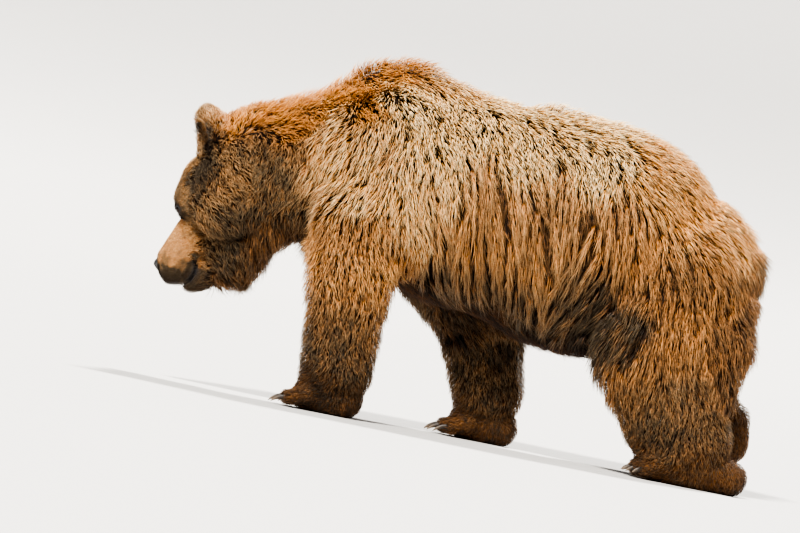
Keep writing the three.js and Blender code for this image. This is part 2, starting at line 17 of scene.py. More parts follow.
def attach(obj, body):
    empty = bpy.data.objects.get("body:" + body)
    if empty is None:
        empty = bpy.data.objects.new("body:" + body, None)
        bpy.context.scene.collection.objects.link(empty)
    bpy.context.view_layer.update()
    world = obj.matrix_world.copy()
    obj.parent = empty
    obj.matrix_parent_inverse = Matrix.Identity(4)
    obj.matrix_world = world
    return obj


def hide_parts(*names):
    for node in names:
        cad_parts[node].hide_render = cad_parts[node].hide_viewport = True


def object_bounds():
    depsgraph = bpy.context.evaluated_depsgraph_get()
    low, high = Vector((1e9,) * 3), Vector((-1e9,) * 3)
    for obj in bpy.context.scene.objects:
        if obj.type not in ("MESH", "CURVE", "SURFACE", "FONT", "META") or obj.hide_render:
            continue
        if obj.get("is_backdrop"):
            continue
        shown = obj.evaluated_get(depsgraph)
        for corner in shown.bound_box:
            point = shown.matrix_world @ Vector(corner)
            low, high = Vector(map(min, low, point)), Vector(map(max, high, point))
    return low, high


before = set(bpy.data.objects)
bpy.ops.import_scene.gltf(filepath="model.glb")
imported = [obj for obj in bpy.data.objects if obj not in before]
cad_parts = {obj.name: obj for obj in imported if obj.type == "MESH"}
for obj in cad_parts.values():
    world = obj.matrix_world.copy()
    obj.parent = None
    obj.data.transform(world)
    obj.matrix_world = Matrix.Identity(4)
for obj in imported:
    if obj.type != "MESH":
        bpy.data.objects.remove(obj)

log = logging.getLogger("bear")

Array = np.ndarray
Point = tuple[float, float, float]
Colour = tuple[float, float, float]
Pair = tuple[float, float]
Thing = bpy.types.Object
Material = bpy.types.Material
Field = Callable[[Array], Array]  # a function from points to distances

MM = 0.001
TINY = 1e-9
# From the bear's own floor point to the middle of its footprint, in millimetres.
SHIFT = np.array([180.169, 1.417, -0.2])


def to_metres(points: Array) -> Array:
    """Places in the bear's own millimetres, as metres in the frame of the part."""
    return (points + SHIFT) * MM


def unit(vectors: Array) -> Array:
    """Vectors brought to a length of one."""
    lengths = np.linalg.norm(vectors, axis=-1, keepdims=True)
    return vectors / np.maximum(lengths, TINY)


def smooth_step(low: float, high: float, values: Array) -> Array:
    """A soft rise from nought at low to one at high."""
    t = np.clip((values - low) / (high - low), 0, 1)
    return t * t * (3 - 2 * t)


def mix(a: Array | float, b: Array | float, share: Array | float) -> Array:
    """What lies between a and b by a share."""
    return a + (b - a) * share


def mirrored(points: Array) -> Array:
    """Points with the right half folded over onto the left one."""
    return points * (1, 0, 1) + np.abs(points) * (0, 1, 0)


def swell(distances: Array, reach: float) -> Array:
    """A soft swelling, one in its middle, that fades with the distance."""
    return np.exp(-((distances / reach) ** 2))


def within(points: Array, box: tuple[Point, Point]) -> Array:
    """Which points lie in a box, known by its lowest and its highest corner."""
    return ((points > box[0]) & (points < box[1])).all(axis=1)


def turn_about(axes: Array, vectors: Array, angles: Array) -> Array:
    """Vectors turned about axes that they are square to, by angles in radians."""
    return vectors * np.cos(angles)[:, None] + np.cross(axes, vectors) * np.sin(angles)[:, None]


class Ripple:
    """A soft, endless unevenness in space: a sum of waves that run in all directions."""

    def __init__(self, wavelength: float, seed: int, waves: int = 14) -> None:
        """Draws the waves.

        Args:
            wavelength: how far apart the humps lie, in millimetres.
            seed: what the draw starts from.
            waves: how many waves are added up.
        """
        draw = np.random.default_rng(seed)
        directions = unit(draw.normal(size=(waves, 3)))
        lengths = wavelength * draw.uniform(0.7, 1.6, size=(waves, 1))
        self.waves = directions * (2 * math.pi / lengths)
        self.phases = draw.uniform(0, 2 * math.pi, size=waves)
        self.scale = math.sqrt(2 / waves)

    def __call__(self, points: Array) -> Array:
        """The height of the ripple at each point, mostly between -1 and 1."""
        return np.sin(points @ self.waves.T + self.phases).sum(axis=1) * self.scale * 0.6


# --- forms: negative inside, in millimetres

FAR_AWAY = 1e4
HALO = 150.0  # a form has no say further from its own ball than this


def blend(a: Array, b: Array, fillet: float) -> Array:
    """A smooth union of two distances, with a fillet of the given width between them."""
    h = np.maximum(fillet - np.abs(a - b), 0) / fillet
    return np.minimum(a, b) - h * h * fillet * 0.25


class Form:
    """A shape known by its distance at any point. Each form lies inside a ball."""

    ball: tuple[Array, float]

    def distance(self, points: Array) -> Array:
        """How far each point lies outside the form."""
        raise NotImplementedError


class Egg(Form):
    """An egg with three half sizes along its own axes."""

    def __init__(self, centre: Array | Point, half: Point, axes: Array | None = None) -> None:
        """Keeps its sizes.

        Args:
            centre: its middle.
            half: its half sizes.
            axes: its own axes, as the columns of a matrix.
        """
        self.centre = np.asarray(centre, float)
        self.half = np.asarray(half, float)
        self.axes = np.eye(3) if axes is None else axes
        self.ball = (self.centre, float(self.half.max()))

    def distance(self, points: Array) -> Array:
        """How far each point lies outside the egg.

        Args:
            points: places in millimetres.

        Returns:
            The distances.
        """
        q = (points - self.centre) @ self.axes
        k0 = np.linalg.norm(q / self.half, axis=1)
        k1 = np.linalg.norm(q / self.half**2, axis=1)
        return k0 * (k0 - 1) / np.maximum(k1, TINY)


class Limb(Form):
    """A limb that is round at both ends, and may be squeezed from side to side."""

    def __init__(
        self,
        start: Array | Point,
        start_radius: float,
        end: Array | Point,
        end_radius: float,
        squeeze: float = 1,
    ) -> None:
        """Keeps its ends, the radii there, and how broad it is for its height.

        Args:
            start: the middle of one end.
            start_radius: how thick it is there.
            end: the middle of the other.
            end_radius: how thick it is there.
            squeeze: how broad it is for its height.
        """
        self.start = np.asarray(start, float)
        self.axis = np.asarray(end, float) - self.start
        self.radii = (start_radius, end_radius)
        self.squeeze = squeeze
        reach = float(np.linalg.norm(self.axis)) / 2 + max(self.radii)
        self.ball = (self.start + self.axis / 2, reach)

    def distance(self, points: Array) -> Array:
        """How far each point lies outside the limb.

        Args:
            points: places in millimetres.

        Returns:
            The distances.
        """
        q = points - self.start
        t = np.clip(q @ self.axis / max(float(self.axis @ self.axis), TINY), 0, 1)
        q = q - t[:, None] * self.axis
        q[:, 1] /= self.squeeze
        return (np.linalg.norm(q, axis=1) - mix(*self.radii, t)) * self.squeeze


class Grown(Form):
    """Several forms run together with one fillet."""

    def __init__(self, forms: list[Form], fillet: float) -> None:
        """Keeps the forms and the fillet between them.

        Args:
            forms: what is run together.
            fillet: how wide the fillet between them is.
        """
        self.forms = forms
        self.fillet = fillet
        centres = np.array([form.ball[0] for form in forms])
        middle = centres.mean(axis=0)
        reach = max(float(np.linalg.norm(form.ball[0] - middle)) + form.ball[1] for form in forms)
        self.ball = (middle, reach)

    def distance(self, points: Array) -> Array:
        """How far each point lies outside the whole.

        Args:
            points: places in millimetres.

        Returns:
            The distances.
        """
        total = np.full(len(points), FAR_AWAY)
        for form in self.forms:
            centre, radius = form.ball
            offsets = points - centre
            near = np.flatnonzero(np.einsum("ij,ij->i", offsets, offsets) < (radius + HALO) ** 2)
            if len(near):
                total[near] = blend(total[near], form.distance(points[near]), self.fillet)
        return total


class Hollowed(Form):
    """A form with a tool cut out of it, with a soft rim."""

    def __init__(self, form: Form, tool: Form, rim: float) -> None:
        """Keeps the form, the tool and the width of the rim."""
        self.form, self.tool, self.rim = form, tool, rim
        self.ball = form.ball

    def distance(self, points: Array) -> Array:
        """How far each point lies outside what is left of the form."""
        return -blend(-self.form.distance(points), self.tool.distance(points), self.rim)


def pitched(degrees: float) -> Array:
    """Axes that are tipped about the one that runs from side to side."""
    c, s = math.cos(math.radians(degrees)), math.sin(math.radians(degrees))
    return np.array([[c, 0, s], [0, 1, 0], [-s, 0, c]])


# --- the bear's sizes


class Side(Enum):
    """A side of the bear: which way it lies from the middle."""

    LEFT = -1
    RIGHT = 1


@dataclass(frozen=True)
class Fillets:
    """How softly the masses of each part run into each other."""

    trunk: float = 70
    limbs: float = 38
    head: float = 30
    toes: float = 14
    foot: float = 22
    ear: float = 18


FILLETS = Fillets()


@dataclass(frozen=True)
class HeadFrame:
    """The head's own frame, which runs along the palate, out to the left and up."""

    pitch: float = 43
    yaw: float = 25
    length: float = 400
    nose_tip: Point = (-1036, 158, 307)

    @property
    def axes(self) -> Array:
        """Along, left and up, as the columns of a matrix.

        Returns:
            Three directions, as the columns of a matrix.
        """
        yaw, pitch = math.radians(self.yaw), math.radians(self.pitch)
        level = np.array([-math.cos(yaw), math.sin(yaw), 0])
        rise = np.array([0, 0, 1])
        along = level * math.cos(pitch) - rise * math.sin(pitch)
        up = level * math.sin(pitch) + rise * math.cos(pitch)
        return np.column_stack([along, np.cross(up, along), up])

    @property
    def nape(self) -> Array:
        """Where the frame begins."""
        return np.array(self.nose_tip) - self.length * self.axes[:, 0]

    def place(self, along: float, out: float, up: float, side: Side = Side.LEFT) -> Array:
        """A place on the head, out to the given side of it."""
        return self.nape + self.axes @ np.array([along, -side.value * out, up])

    def direction(self, along: float, out: float, up: float, side: Side = Side.LEFT) -> Array:
        """A direction in the head's own frame, out to the given side of it."""
        return unit(self.axes @ np.array([along, -side.value * out, up]))

    def local(self, points: Array) -> Array:
        """Points in the head's own frame: along, left and up."""
        return (points - self.nape) @ self.axes

    def egg(self, centre: Point, half: Point, side: Side = Side.LEFT) -> Egg:
        """An egg that lies square to the head."""
        return Egg(self.place(*centre, side), half, self.axes)

    def limb(
        self,
        start: Point,
        start_radius: float,
        end: Point,
        end_radius: float,
        side: Side = Side.LEFT,
    ) -> Limb:
        """A limb between two places on the head."""
        return Limb(self.place(*start, side), start_radius, self.place(*end, side), end_radius)


HEAD = HeadFrame()


@dataclass(frozen=True)
class EarSizes:
    """An ear: its middle, the way its cup faces and its stem points, and the hollow of its cup."""

    centre: Point = (27, 110, 182)
    facing: Point = (0.75, 0.65, 0.1)
    stem: Point = (-0.24, 0.27, 0.93)
    half: Point = (44, 70, 80)
    cup: Point = (60, 141, 184)
    cup_half: Point = (34, 42, 54)
    rim: float = 12

    def axes(self, side: Side) -> Array:
        """The ear's own axes: the way it faces, across it and up it.

        Args:
            side: which side of the bear.

        Returns:
            Three directions, as the columns of a matrix.
        """
        facing = HEAD.direction(*self.facing, side)
        across = unit(np.cross(HEAD.direction(*self.stem, side), facing))
        return np.column_stack([facing, across, np.cross(facing, across)])

    def form(self, side: Side) -> Form:
        """The whole ear, with its cup hollowed out.

        Args:
            side: which side of the bear.

        Returns:
            The form.
        """
        axes = self.axes(side)
        pinna = Egg(HEAD.place(*self.centre, side), self.half, axes)
        cup = Egg(HEAD.place(*self.cup, side), self.cup_half, axes)
        return Hollowed(pinna, cup, self.rim)


EAR = EarSizes()


@dataclass(frozen=True)
class Foot:
    """A foot by its heel and its ball, and the sizes of its toes and claws."""

    turn: float
    heel: Point
    heel_radius: float
    ball: Point
    instep: float
    width: float
    thick: float
    toe: float
    claw: float
    knuckle: float
    tip: float


@dataclass(frozen=True)
class Toe:
    """One toe, from its knuckle to its tip."""

    number: int
    knuckle: Array
    tip: Array


@dataclass(frozen=True)
class Leg:
    """A leg by its joints, from the body down, the radii there, and its foot."""

    name: str
    side: Side
    squeeze: float
    joints: tuple[Point, Point, Point]
    radii: tuple[float, float, float]
    foot: Foot
    ham: tuple[Point, Point] | None = None

    TOE_FAN = ((-0.86, 0.74), (-0.44, 0.95), (0, 1), (0.44, 0.93), (0.86, 0.72))
    SPLAY = 0.12
    SOLE, SOLE_BREADTH = 0.4, 1.15
    INSTEP = 0.3
    TOE_TAPER = 0.86

    def toes(self) -> list[Toe]:
        """The five toes, from the inner one to the outer one.

        Returns:
            The toes.
        """
        foot = self.foot
        inward = math.radians(foot.turn) * self.side.value
        ahead = np.array([-math.cos(inward), -math.sin(inward), 0])
        outward = np.array([-ahead[1], ahead[0], 0])
        toes = []
        for index, (spread, lead) in enumerate(self.TOE_FAN):
            aside = outward * spread * foot.width / 2
            knuckle = np.array(foot.ball) + aside
            knuckle[2] = foot.knuckle
            tip = knuckle + ahead * foot.toe * lead + aside * self.SPLAY
            tip[2] = foot.tip
            toes.append(Toe(index + 1, knuckle, tip))
        return toes

    def form(self) -> Form:
        """The whole leg with its foot.

        Returns:
            The form.
        """
        hip, knee, ankle = self.joints
        hip_radius, knee_radius, ankle_radius = self.radii
        foot = self.foot
        bones: list[Form] = [
            Limb(hip, hip_radius, knee, knee_radius, self.squeeze),
            Limb(knee, knee_radius, ankle, ankle_radius, self.squeeze),
        ]
        if self.ham:
            bones.append(Egg(*self.ham))
        parts: list[Form] = [
            Limb(foot.heel, foot.heel_radius, foot.ball, foot.width * self.SOLE, self.SOLE_BREADTH),
            Limb(ankle, foot.instep, foot.ball, foot.width * self.INSTEP),
        ]
        slim = foot.thick * self.TOE_TAPER
        parts += [Limb(toe.knuckle, foot.thick, toe.tip, slim) for toe in self.toes()]
        return Grown([Grown(bones, FILLETS.limbs), Grown(parts, FILLETS.toes)], FILLETS.foot)


FORE_FOOT = dict(width=128, thick=26, toe=58, claw=46, knuckle=46, tip=27)
HIND_FOOT = dict(width=122, thick=27, toe=52, claw=32, knuckle=50, tip=28)

LEGS = (
    Leg(
        name="left_fore",
        side=Side.LEFT,
        squeeze=0.76,
        joints=((-508, -150, 545), (-494, -154, 380), (-485, -142, 125)),
        radii=(136, 121, 103),
        foot=Foot(
            turn=8,
            heel=(-448, -138, 46),
            heel_radius=52,
            ball=(-540, -140, 42),
            instep=84,
            **FORE_FOOT,
        ),
    ),
    Leg(
        name="right_fore",
        side=Side.RIGHT,
        squeeze=0.76,
        joints=((-385, 145, 548), (-120, 150, 330), (-62, 140, 138)),
        radii=(134, 118, 101),
        foot=Foot(
            turn=6,
            heel=(-12, 138, 46),
            heel_radius=51,
            ball=(-104, 140, 42),
            instep=76,
            **FORE_FOOT,
        ),
    ),
    Leg(
        name="left_hind",
        side=Side.LEFT,
        squeeze=0.7,
        joints=((395, -120, 540), (352, -152, 345), (486, -152, 118)),
        radii=(186, 168, 138),
        ham=((474, -118, 395), (166, 104, 165)),
        foot=Foot(
            turn=-10,
            heel=(630, -148, 46),
            heel_radius=50,
            ball=(430, -156, 42),
            instep=92,
            **HIND_FOOT,
        ),
    ),
    Leg(
        name="right_hind",
        side=Side.RIGHT,
        squeeze=0.7,
        joints=((395, 120, 540), (380, 150, 360), (536, 148, 190)),
        radii=(186, 165, 104),
        ham=((474, 118, 395), (166, 104, 165)),
        foot=Foot(
            turn=-8,
            heel=(614, 146, 145),
            heel_radius=50,
            ball=(462, 152, 40),
            instep=78,
            **HIND_FOOT,
        ),
    ),
)


Ball = tuple[Point, Point]  # an egg: its middle and its half sizes
Mass = tuple[Point, Point, float]  # the same, with how far it is tipped
Bar = tuple[Point, float, Point, float]  # a limb: its two ends, each with its radius


def mass(middle: Point, half: Point, tip: float) -> Egg:
    """An egg that is tipped by some degrees."""
    return Egg(middle, half, pitched(tip))


@dataclass(frozen=True)
class Trunk:
    """The trunk and neck, from the breast to the rump."""

    chest: Mass = ((-205, 0, 642), (385, 232, 304), 3)
    barrel: Mass = ((72, 0, 613), (335, 248, 334), 0)
    loins: Mass = ((226, 0, 657), (258, 230, 266), 22)
    rump: Mass = ((414, 0, 556), (192, 214, 222), 30)
    withers: Mass = ((-438, 0, 796), (205, 130, 205), 9)
    breast: Mass = ((-538, 0, 615), (138, 160, 182), 0)
    left_shoulder: Mass = ((-440, -118, 660), (185, 112, 250), -12)
    right_shoulder: Mass = ((-440, 118, 660), (185, 112, 250), -12)
    neck: Bar = ((-560, 0, 705), 205, (-765, 30, 635), 185)
    neck_squeeze: float = 0.86
    throat: Bar = ((-600, 10, 650), 150, (-765, 40, 548), 138)
    throat_squeeze: float = 0.9

    def form(self) -> Form:
        """All of it run together.

        Returns:
            The form.
        """
        eggs = [self.chest, self.barrel, self.loins, self.rump, self.withers, self.breast]
        forms: list[Form] = [mass(*egg) for egg in (*eggs, self.left_shoulder, self.right_shoulder)]
        forms += [Limb(*self.neck, self.neck_squeeze), Limb(*self.throat, self.throat_squeeze)]
        return Grown(forms, FILLETS.trunk)


@dataclass(frozen=True)
class Skull:
    """The head without its ears, in its own frame. Masses of both sides are given for the left."""

    brow: Ball = ((95, 0, 48), (155, 128, 118))
    crown: Ball = ((134, 0, 110), (88, 92, 72))
    bridge: Bar = ((225, 0, 10), 58, (356, 0, -18), 36)
    jaw: Bar = ((155, 0, -72), 88, (320, 0, -92), 32)
    beard: Ball = ((168, 0, -122), (92, 76, 84))
    gullet: Bar = ((125, 20, -120), 60, (42, 20, -114), 62)
    chin: Bar = ((300, 0, -104), 29, (338, 0, -108), 22)
    underjaw: Bar = ((300, 0, -112), 32, (205, 0, -148), 58)
    ridge: Bar = ((270, 0, 13), 35, (350, 0, -12), 26)
    upper_lip: Bar = ((345, 18, -52), 31, (364, 12, -54), 29)
    nape: Bar = ((-20, 72, 160), 50, (-92, 45, 142), 58)
    cheek: Ball = ((102, 88, 0), (104, 64, 102))
    flews: Bar = ((255, 36, -34), 40, (352, 20, -44), 34)
    eyebrow: Ball = ((202, 46, 82), (46, 38, 46))

    def form(self) -> Form:
        """All of it run together.

        Returns:
            The form.
        """
        forms: list[Form] = [HEAD.egg(*self.brow), HEAD.egg(*self.crown)]
        forms += [HEAD.limb(*self.bridge), HEAD.limb(*self.jaw), HEAD.egg(*self.beard)]
        forms += [HEAD.limb(*bar) for bar in (self.gullet, self.chin, self.underjaw, self.ridge)]
        for side in Side:
            forms += [HEAD.limb(*self.upper_lip, side), HEAD.limb(*self.nape, side)]
            forms += [HEAD.egg(*self.cheek, side), HEAD.limb(*self.flews, side)]
            forms.append(HEAD.egg(*self.eyebrow, side))
        return Grown(forms, FILLETS.head)


@dataclass(frozen=True)
class Body:
    """The whole bear, out to the tips of its coat, with the small masses that fill its outline."""

    tail: Bar = ((536, 0, 692), 38, (580, 0, 598), 27)
    seat: Bar = ((556, -80, 505), 66, (556, 80, 505), 66)
    croup: Mass = ((444, 0, 637), (127, 142, 149), 0)
    paunch: Mass = ((162, 0, 352), (138, 150, 65), 0)
    hump: Bar = ((-530, 0, 905), 74, (-440, 0, 922), 74)
    slope: Bar = ((-400, 0, 913), 74, (-270, 0, 878), 72)
    saddle: Mass = ((-15, 0, 883), (110, 60, 74), 0)
    calf: Bar = ((556, -146, 335), 54, (568, -146, 250), 46)
    heel: Bar = ((618, 146, 195), 46, (622, 146, 125), 48)
    breast: Bar = ((-588, -90, 440), 48, (-588, 60, 440), 48)
    ear_base: Bar = ((82, 72, 198), 12, (98, 52, 142), 34)

    def form(self) -> Form:
        """All of it run together.

        Returns:
            The form.
        """
        forms: list[Form] = [Trunk().form(), Skull().form(), Limb(*self.tail), Limb(*self.seat)]
        forms += [mass(*self.croup), mass(*self.paunch), Limb(*self.hump), Limb(*self.slope)]
        forms += [mass(*self.saddle), Limb(*self.calf), Limb(*self.heel), Limb(*self.breast)]
        whole = Grown([*forms, *[leg.form() for leg in LEGS]], FILLETS.limbs)
        ears = [EAR.form(side) for side in Side]
        bases = [HEAD.limb(*self.ear_base, side) for side in Side]
        return Grown([whole, *ears, *bases], FILLETS.ear)


# --- the coat, kind by kind and spot by spot


@dataclass(frozen=True)
class Fur:
    """One kind of fur: its build in millimetres, and its colours as shares.

    The depth is how far the skin lies below the tips, and stand is how far up through it they
    reach. The lock is how wide a lock is, and the draw is how long it is for its width. Gather is
    how strongly the hairs of a lock stick together, and ridge how high the lock stands. Stray is
    how far the hairs wander off the lie, in degrees. The crowd is how closely the wisps stand.
    Tone runs from dark to light, warmth from brown to orange, and frost is how pale the tips are.
    """

    depth: float
    stand: float
    length: float
    width: float
    lock: float
    draw: float
    gather: float
    ridge: float
    stray: float
    crowd: float
    tone: float
    warmth: float
    frost: float

    @staticmethod
    def fields() -> tuple[str, ...]:
        """The names of the values, in their order."""
        return tuple(Fur.__dataclass_fields__)


class Kind(Enum):
    """The kinds of fur that the bear has."""

    #            depth stand length width lock draw gather ridge stray crowd tone warmth frost
    MUZZLE = Fur(3, 1.2, 11, 1.1, 5, 2, 0.2, 0, 20, 40, 0.62, 0.45, 0.52)
    BRIDGE = Fur(5, 1.05, 13, 1.2, 6, 2, 0.3, 0.1, 18, 32, 0.46, 0.8, 0.45)
    SNOUT = Fur(3, 1.1, 9, 1, 5, 2, 0.2, 0, 20, 36, 0.26, 0.3, 0.34)
    WHISKER = Fur(3, 1, 7, 0.9, 5, 2, 0.2, 0, 20, 34, -0.16, 0.1, 0.16)
    LIP = Fur(3, 1, 6, 0.9, 5, 2, 0.2, 0, 18, 32, -0.4, 0, 0.06)
    LID = Fur(3, 1, 6, 0.9, 5, 2, 0.2, 0, 12, 34, -0.1, 0, 0)
    CHIN = Fur(5, 1, 13, 1.1, 7, 2, 0.3, 0.1, 18, 28, -0.02, 0.2, 0.14)
    FACE = Fur(7, 1.1, 17, 1.5, 8, 2, 0.4, 0.2, 18, 24, 0.16, 1, 0.34)
    TEMPLE = Fur(12, 1.1, 34, 1.8, 11, 3, 0.6, 0.4, 16, 14, -0.08, 0.85, 0.12)
    CHEEK = Fur(18, 1, 34, 1.9, 12, 2.2, 0.6, 0.5, 28, 12, 0.2, 0.75, 0.33)
    JOWL = Fur(20, 1, 40, 1.9, 13, 2.6, 0.6, 0.5, 22, 11, 0.08, 0.35, 0.2)
    BEARD = Fur(30, 1, 58, 2.1, 15, 3, 0.6, 0.4, 14, 9, 0.16, 0.55, 0.12)
    EAR = Fur(6, 1.4, 18, 1.5, 9, 2, 0.3, 0.2, 20, 24, 0.28, 0.7, 0.38)
    CUP = Fur(4, 1.2, 17, 1.4, 9, 2, 0.4, 0.2, 20, 28, -0.1, 0, 0)
    RUFF = Fur(20, 1, 26, 1.9, 12, 2, 0.4, 0.3, 24, 11, 0.62, 0.8, 0.15)
    NECK = Fur(30, 1, 42, 2.1, 13, 2.2, 0.6, 0.5, 28, 10, 0.08, 0.85, 0.24)
    CREST = Fur(38, 1.2, 44, 2.2, 14, 2.4, 0.45, 0.3, 22, 10, 0.64, 0.75, 0.1)
    SHOULDER = Fur(32, 1.16, 54, 2.7, 16, 3, 0.78, 0.7, 15, 7.5, 0.78, 0.6, 0.85)
    BACK = Fur(30, 1.3, 50, 2.8, 17, 2.4, 0.76, 0.6, 16, 8.5, 1.05, 0.4, 1.2)
    FLANK = Fur(34, 1, 74, 2.8, 17, 7, 0.87, 0.9, 9, 8.5, 0.41, 0.85, 0.34)
    FRINGE = Fur(34, 1, 78, 2.6, 16, 8, 0.88, 0.88, 10, 7, 0.14, 0.5, 0.22)
    # GROIN is darker than the belly: partly the underside's own darker fur, partly painted shade
    # between belly and thigh.
    GROIN = Fur(34, 1, 72, 2.6, 16, 6, 0.82, 0.8, 12, 7, -0.12, 0.4, 0.12)
    BELLY = Fur(34, 0.86, 66, 2.8, 16, 4, 0.6, 0.5, 12, 5.5, 0.03, 0.3, 0)
    RUMP = Fur(30, 1.04, 54, 2.5, 13, 3.4, 0.68, 0.55, 11, 8.5, 0.78, 0.9, 0.64)
    THIGH = Fur(28, 1.05, 58, 2.5, 14, 5, 0.78, 0.65, 11, 7, 0.38, 0.75, 0.25)
    HAM = Fur(26, 1.15, 52, 2.4, 13, 4, 0.7, 0.6, 12, 7, 0.24, 0.55, 0.15)
    TAIL = Fur(14, 1.1, 84, 2.4, 12, 5, 0.6, 0.4, 8, 12, 0.16, 0.5, 0.2)
    ARM = Fur(24, 1.12, 46, 2.3, 13, 4, 0.74, 0.62, 13, 7.5, 0.57, 0.7, 0.42)
    SHIN = Fur(19, 1.16, 38, 2.1, 12, 3, 0.62, 0.46, 16, 9.5, 0.22, 0.65, 0.26)
    LEG = Fur(15, 1.25, 29, 2, 11, 2.4, 0.5, 0.35, 20, 12, 0.1, 0.55, 0.22)
    # SHADE, the far legs' fur, is darker above than the near ARM: painted shade.
    SHADE = Fur(14, 1.4, 27, 2, 11, 2.4, 0.45, 0.3, 15, 12, 0.18, 0.5, 0.22)
    CUFF = Fur(10, 1.1, 24, 1.8, 10, 2.2, 0.45, 0.3, 20, 10.5, 0.14, 0.5, 0.14)
    PAW = Fur(6, 1.05, 18, 1.6, 9, 2, 0.4, 0.2, 20, 11, 0.12, 0.45, 0.08)


@dataclass(frozen=True)
class Spot:
    """A place on the bear whose kind of fur is known, with the way that the hair lies there.

    On the body the place and the lie are back, out from the middle and up. On the head they are
    along the muzzle, out and up in the head's own frame. A leg's spots keep to their own leg.
    """

    kind: Kind
    place: Point
    reach: float
    lie: Point


BODY_SPOTS = (
    Spot(Kind.CREST, (-760, 10, 815), 95, (0.85, 0.3, 0.3)),
    Spot(Kind.CREST, (-620, 0, 915), 95, (0.9, 0.3, 0.25)),
    Spot(Kind.CREST, (-460, 0, 995), 95, (0.95, 0.3, 0.1)),
    Spot(Kind.CREST, (-700, 130, 800), 75, (0.55, 0.35, -0.6)),
    Spot(Kind.CREST, (-570, 130, 890), 75, (0.5, 0.35, -0.7)),
    Spot(Kind.SHOULDER, (-330, 0, 975), 90, (0.9, 0.4, -0.2)),
    Spot(Kind.BACK, (-400, 130, 880), 90, (0.2, 0.45, -0.85)),
    Spot(Kind.CREST, (-690, 165, 750), 62, (0.2, 0.2, -0.95)),
    Spot(Kind.NECK, (-720, 150, 680), 90, (0.1, 0.1, -1)),
    Spot(Kind.NECK, (-690, 120, 540), 100, (-0.15, 0, -1)),
    Spot(Kind.SHOULDER, (-600, 170, 700), 110, (-0.4, 0.2, -0.9)),
    Spot(Kind.SHOULDER, (-490, 210, 730), 110, (-0.1, 0.1, -1)),
    Spot(Kind.BACK, (-300, 190, 790), 110, (0.25, 0.2, -0.95)),
    Spot(Kind.SHOULDER, (-340, 215, 640), 100, (0.25, 0.05, -0.97)),
    Spot(Kind.BACK, (-150, 50, 945), 110, (0.85, 0.45, -0.2)),
    Spot(Kind.BACK, (-130, 170, 850), 110, (0.4, 0.35, -0.85)),
    Spot(Kind.FLANK, (-170, 235, 660), 110, (0.2, 0, -0.98)),
    Spot(Kind.FLANK, (10, 245, 660), 110, (0.2, 0, -0.98)),
    Spot(Kind.FLANK, (180, 235, 640), 100, (0.1, 0, -1)),
    Spot(Kind.FLANK, (-190, 225, 540), 100, (0.2, -0.1, -0.97)),
    Spot(Kind.FLANK, (-20, 235, 520), 100, (0.05, -0.1, -1)),
    Spot(Kind.FRINGE, (-230, 200, 420), 90, (0.25, -0.2, -0.95)),
    Spot(Kind.FRINGE, (-40, 210, 400), 90, (-0.05, -0.2, -0.97)),
    Spot(Kind.FRINGE, (125, 215, 450), 95, (-0.4, -0.2, -0.9)),
    Spot(Kind.BACK, (90, 50, 950), 110, (0.9, 0.35, -0.2)),
    Spot(Kind.BACK, (80, 180, 850), 100, (0.45, 0.3, -0.85)),
    Spot(Kind.RUMP, (320, 40, 875), 120, (0.95, 0.2, -0.4)),
    Spot(Kind.RUMP, (350, 175, 750), 120, (0.75, 0.2, -0.65)),
    Spot(Kind.RUMP, (520, 80, 720), 100, (0.6, 0.2, -0.8)),
    Spot(Kind.THIGH, (330, 225, 600), 110, (0.35, 0, -0.93)),
    Spot(Kind.GROIN, (225, 205, 420), 90, (-0.45, 0.1, -0.9)),
    Spot(Kind.THIGH, (400, 225, 460), 110, (0.1, 0, -1)),
    Spot(Kind.THIGH, (520, 190, 560), 90, (0.5, 0.1, -0.87)),
    Spot(Kind.HAM, (590, 90, 520), 90, (0.4, 0.1, -0.9)),
    Spot(Kind.HAM, (560, 150, 400), 90, (0.25, 0.1, -0.95)),
    Spot(Kind.BELLY, (120, 0, 300), 120, (0.8, 0.1, -0.6)),
    Spot(Kind.BELLY, (-150, 0, 320), 120, (0.8, 0.1, -0.6)),
    Spot(Kind.BELLY, (-380, 0, 370), 110, (0.7, 0.1, -0.7)),
    Spot(Kind.TAIL, (590, 0, 625), 55, (0.3, 0, -0.95)),
    Spot(Kind.BEARD, (-700, 30, 440), 80, (0.2, 0, -1)),
)

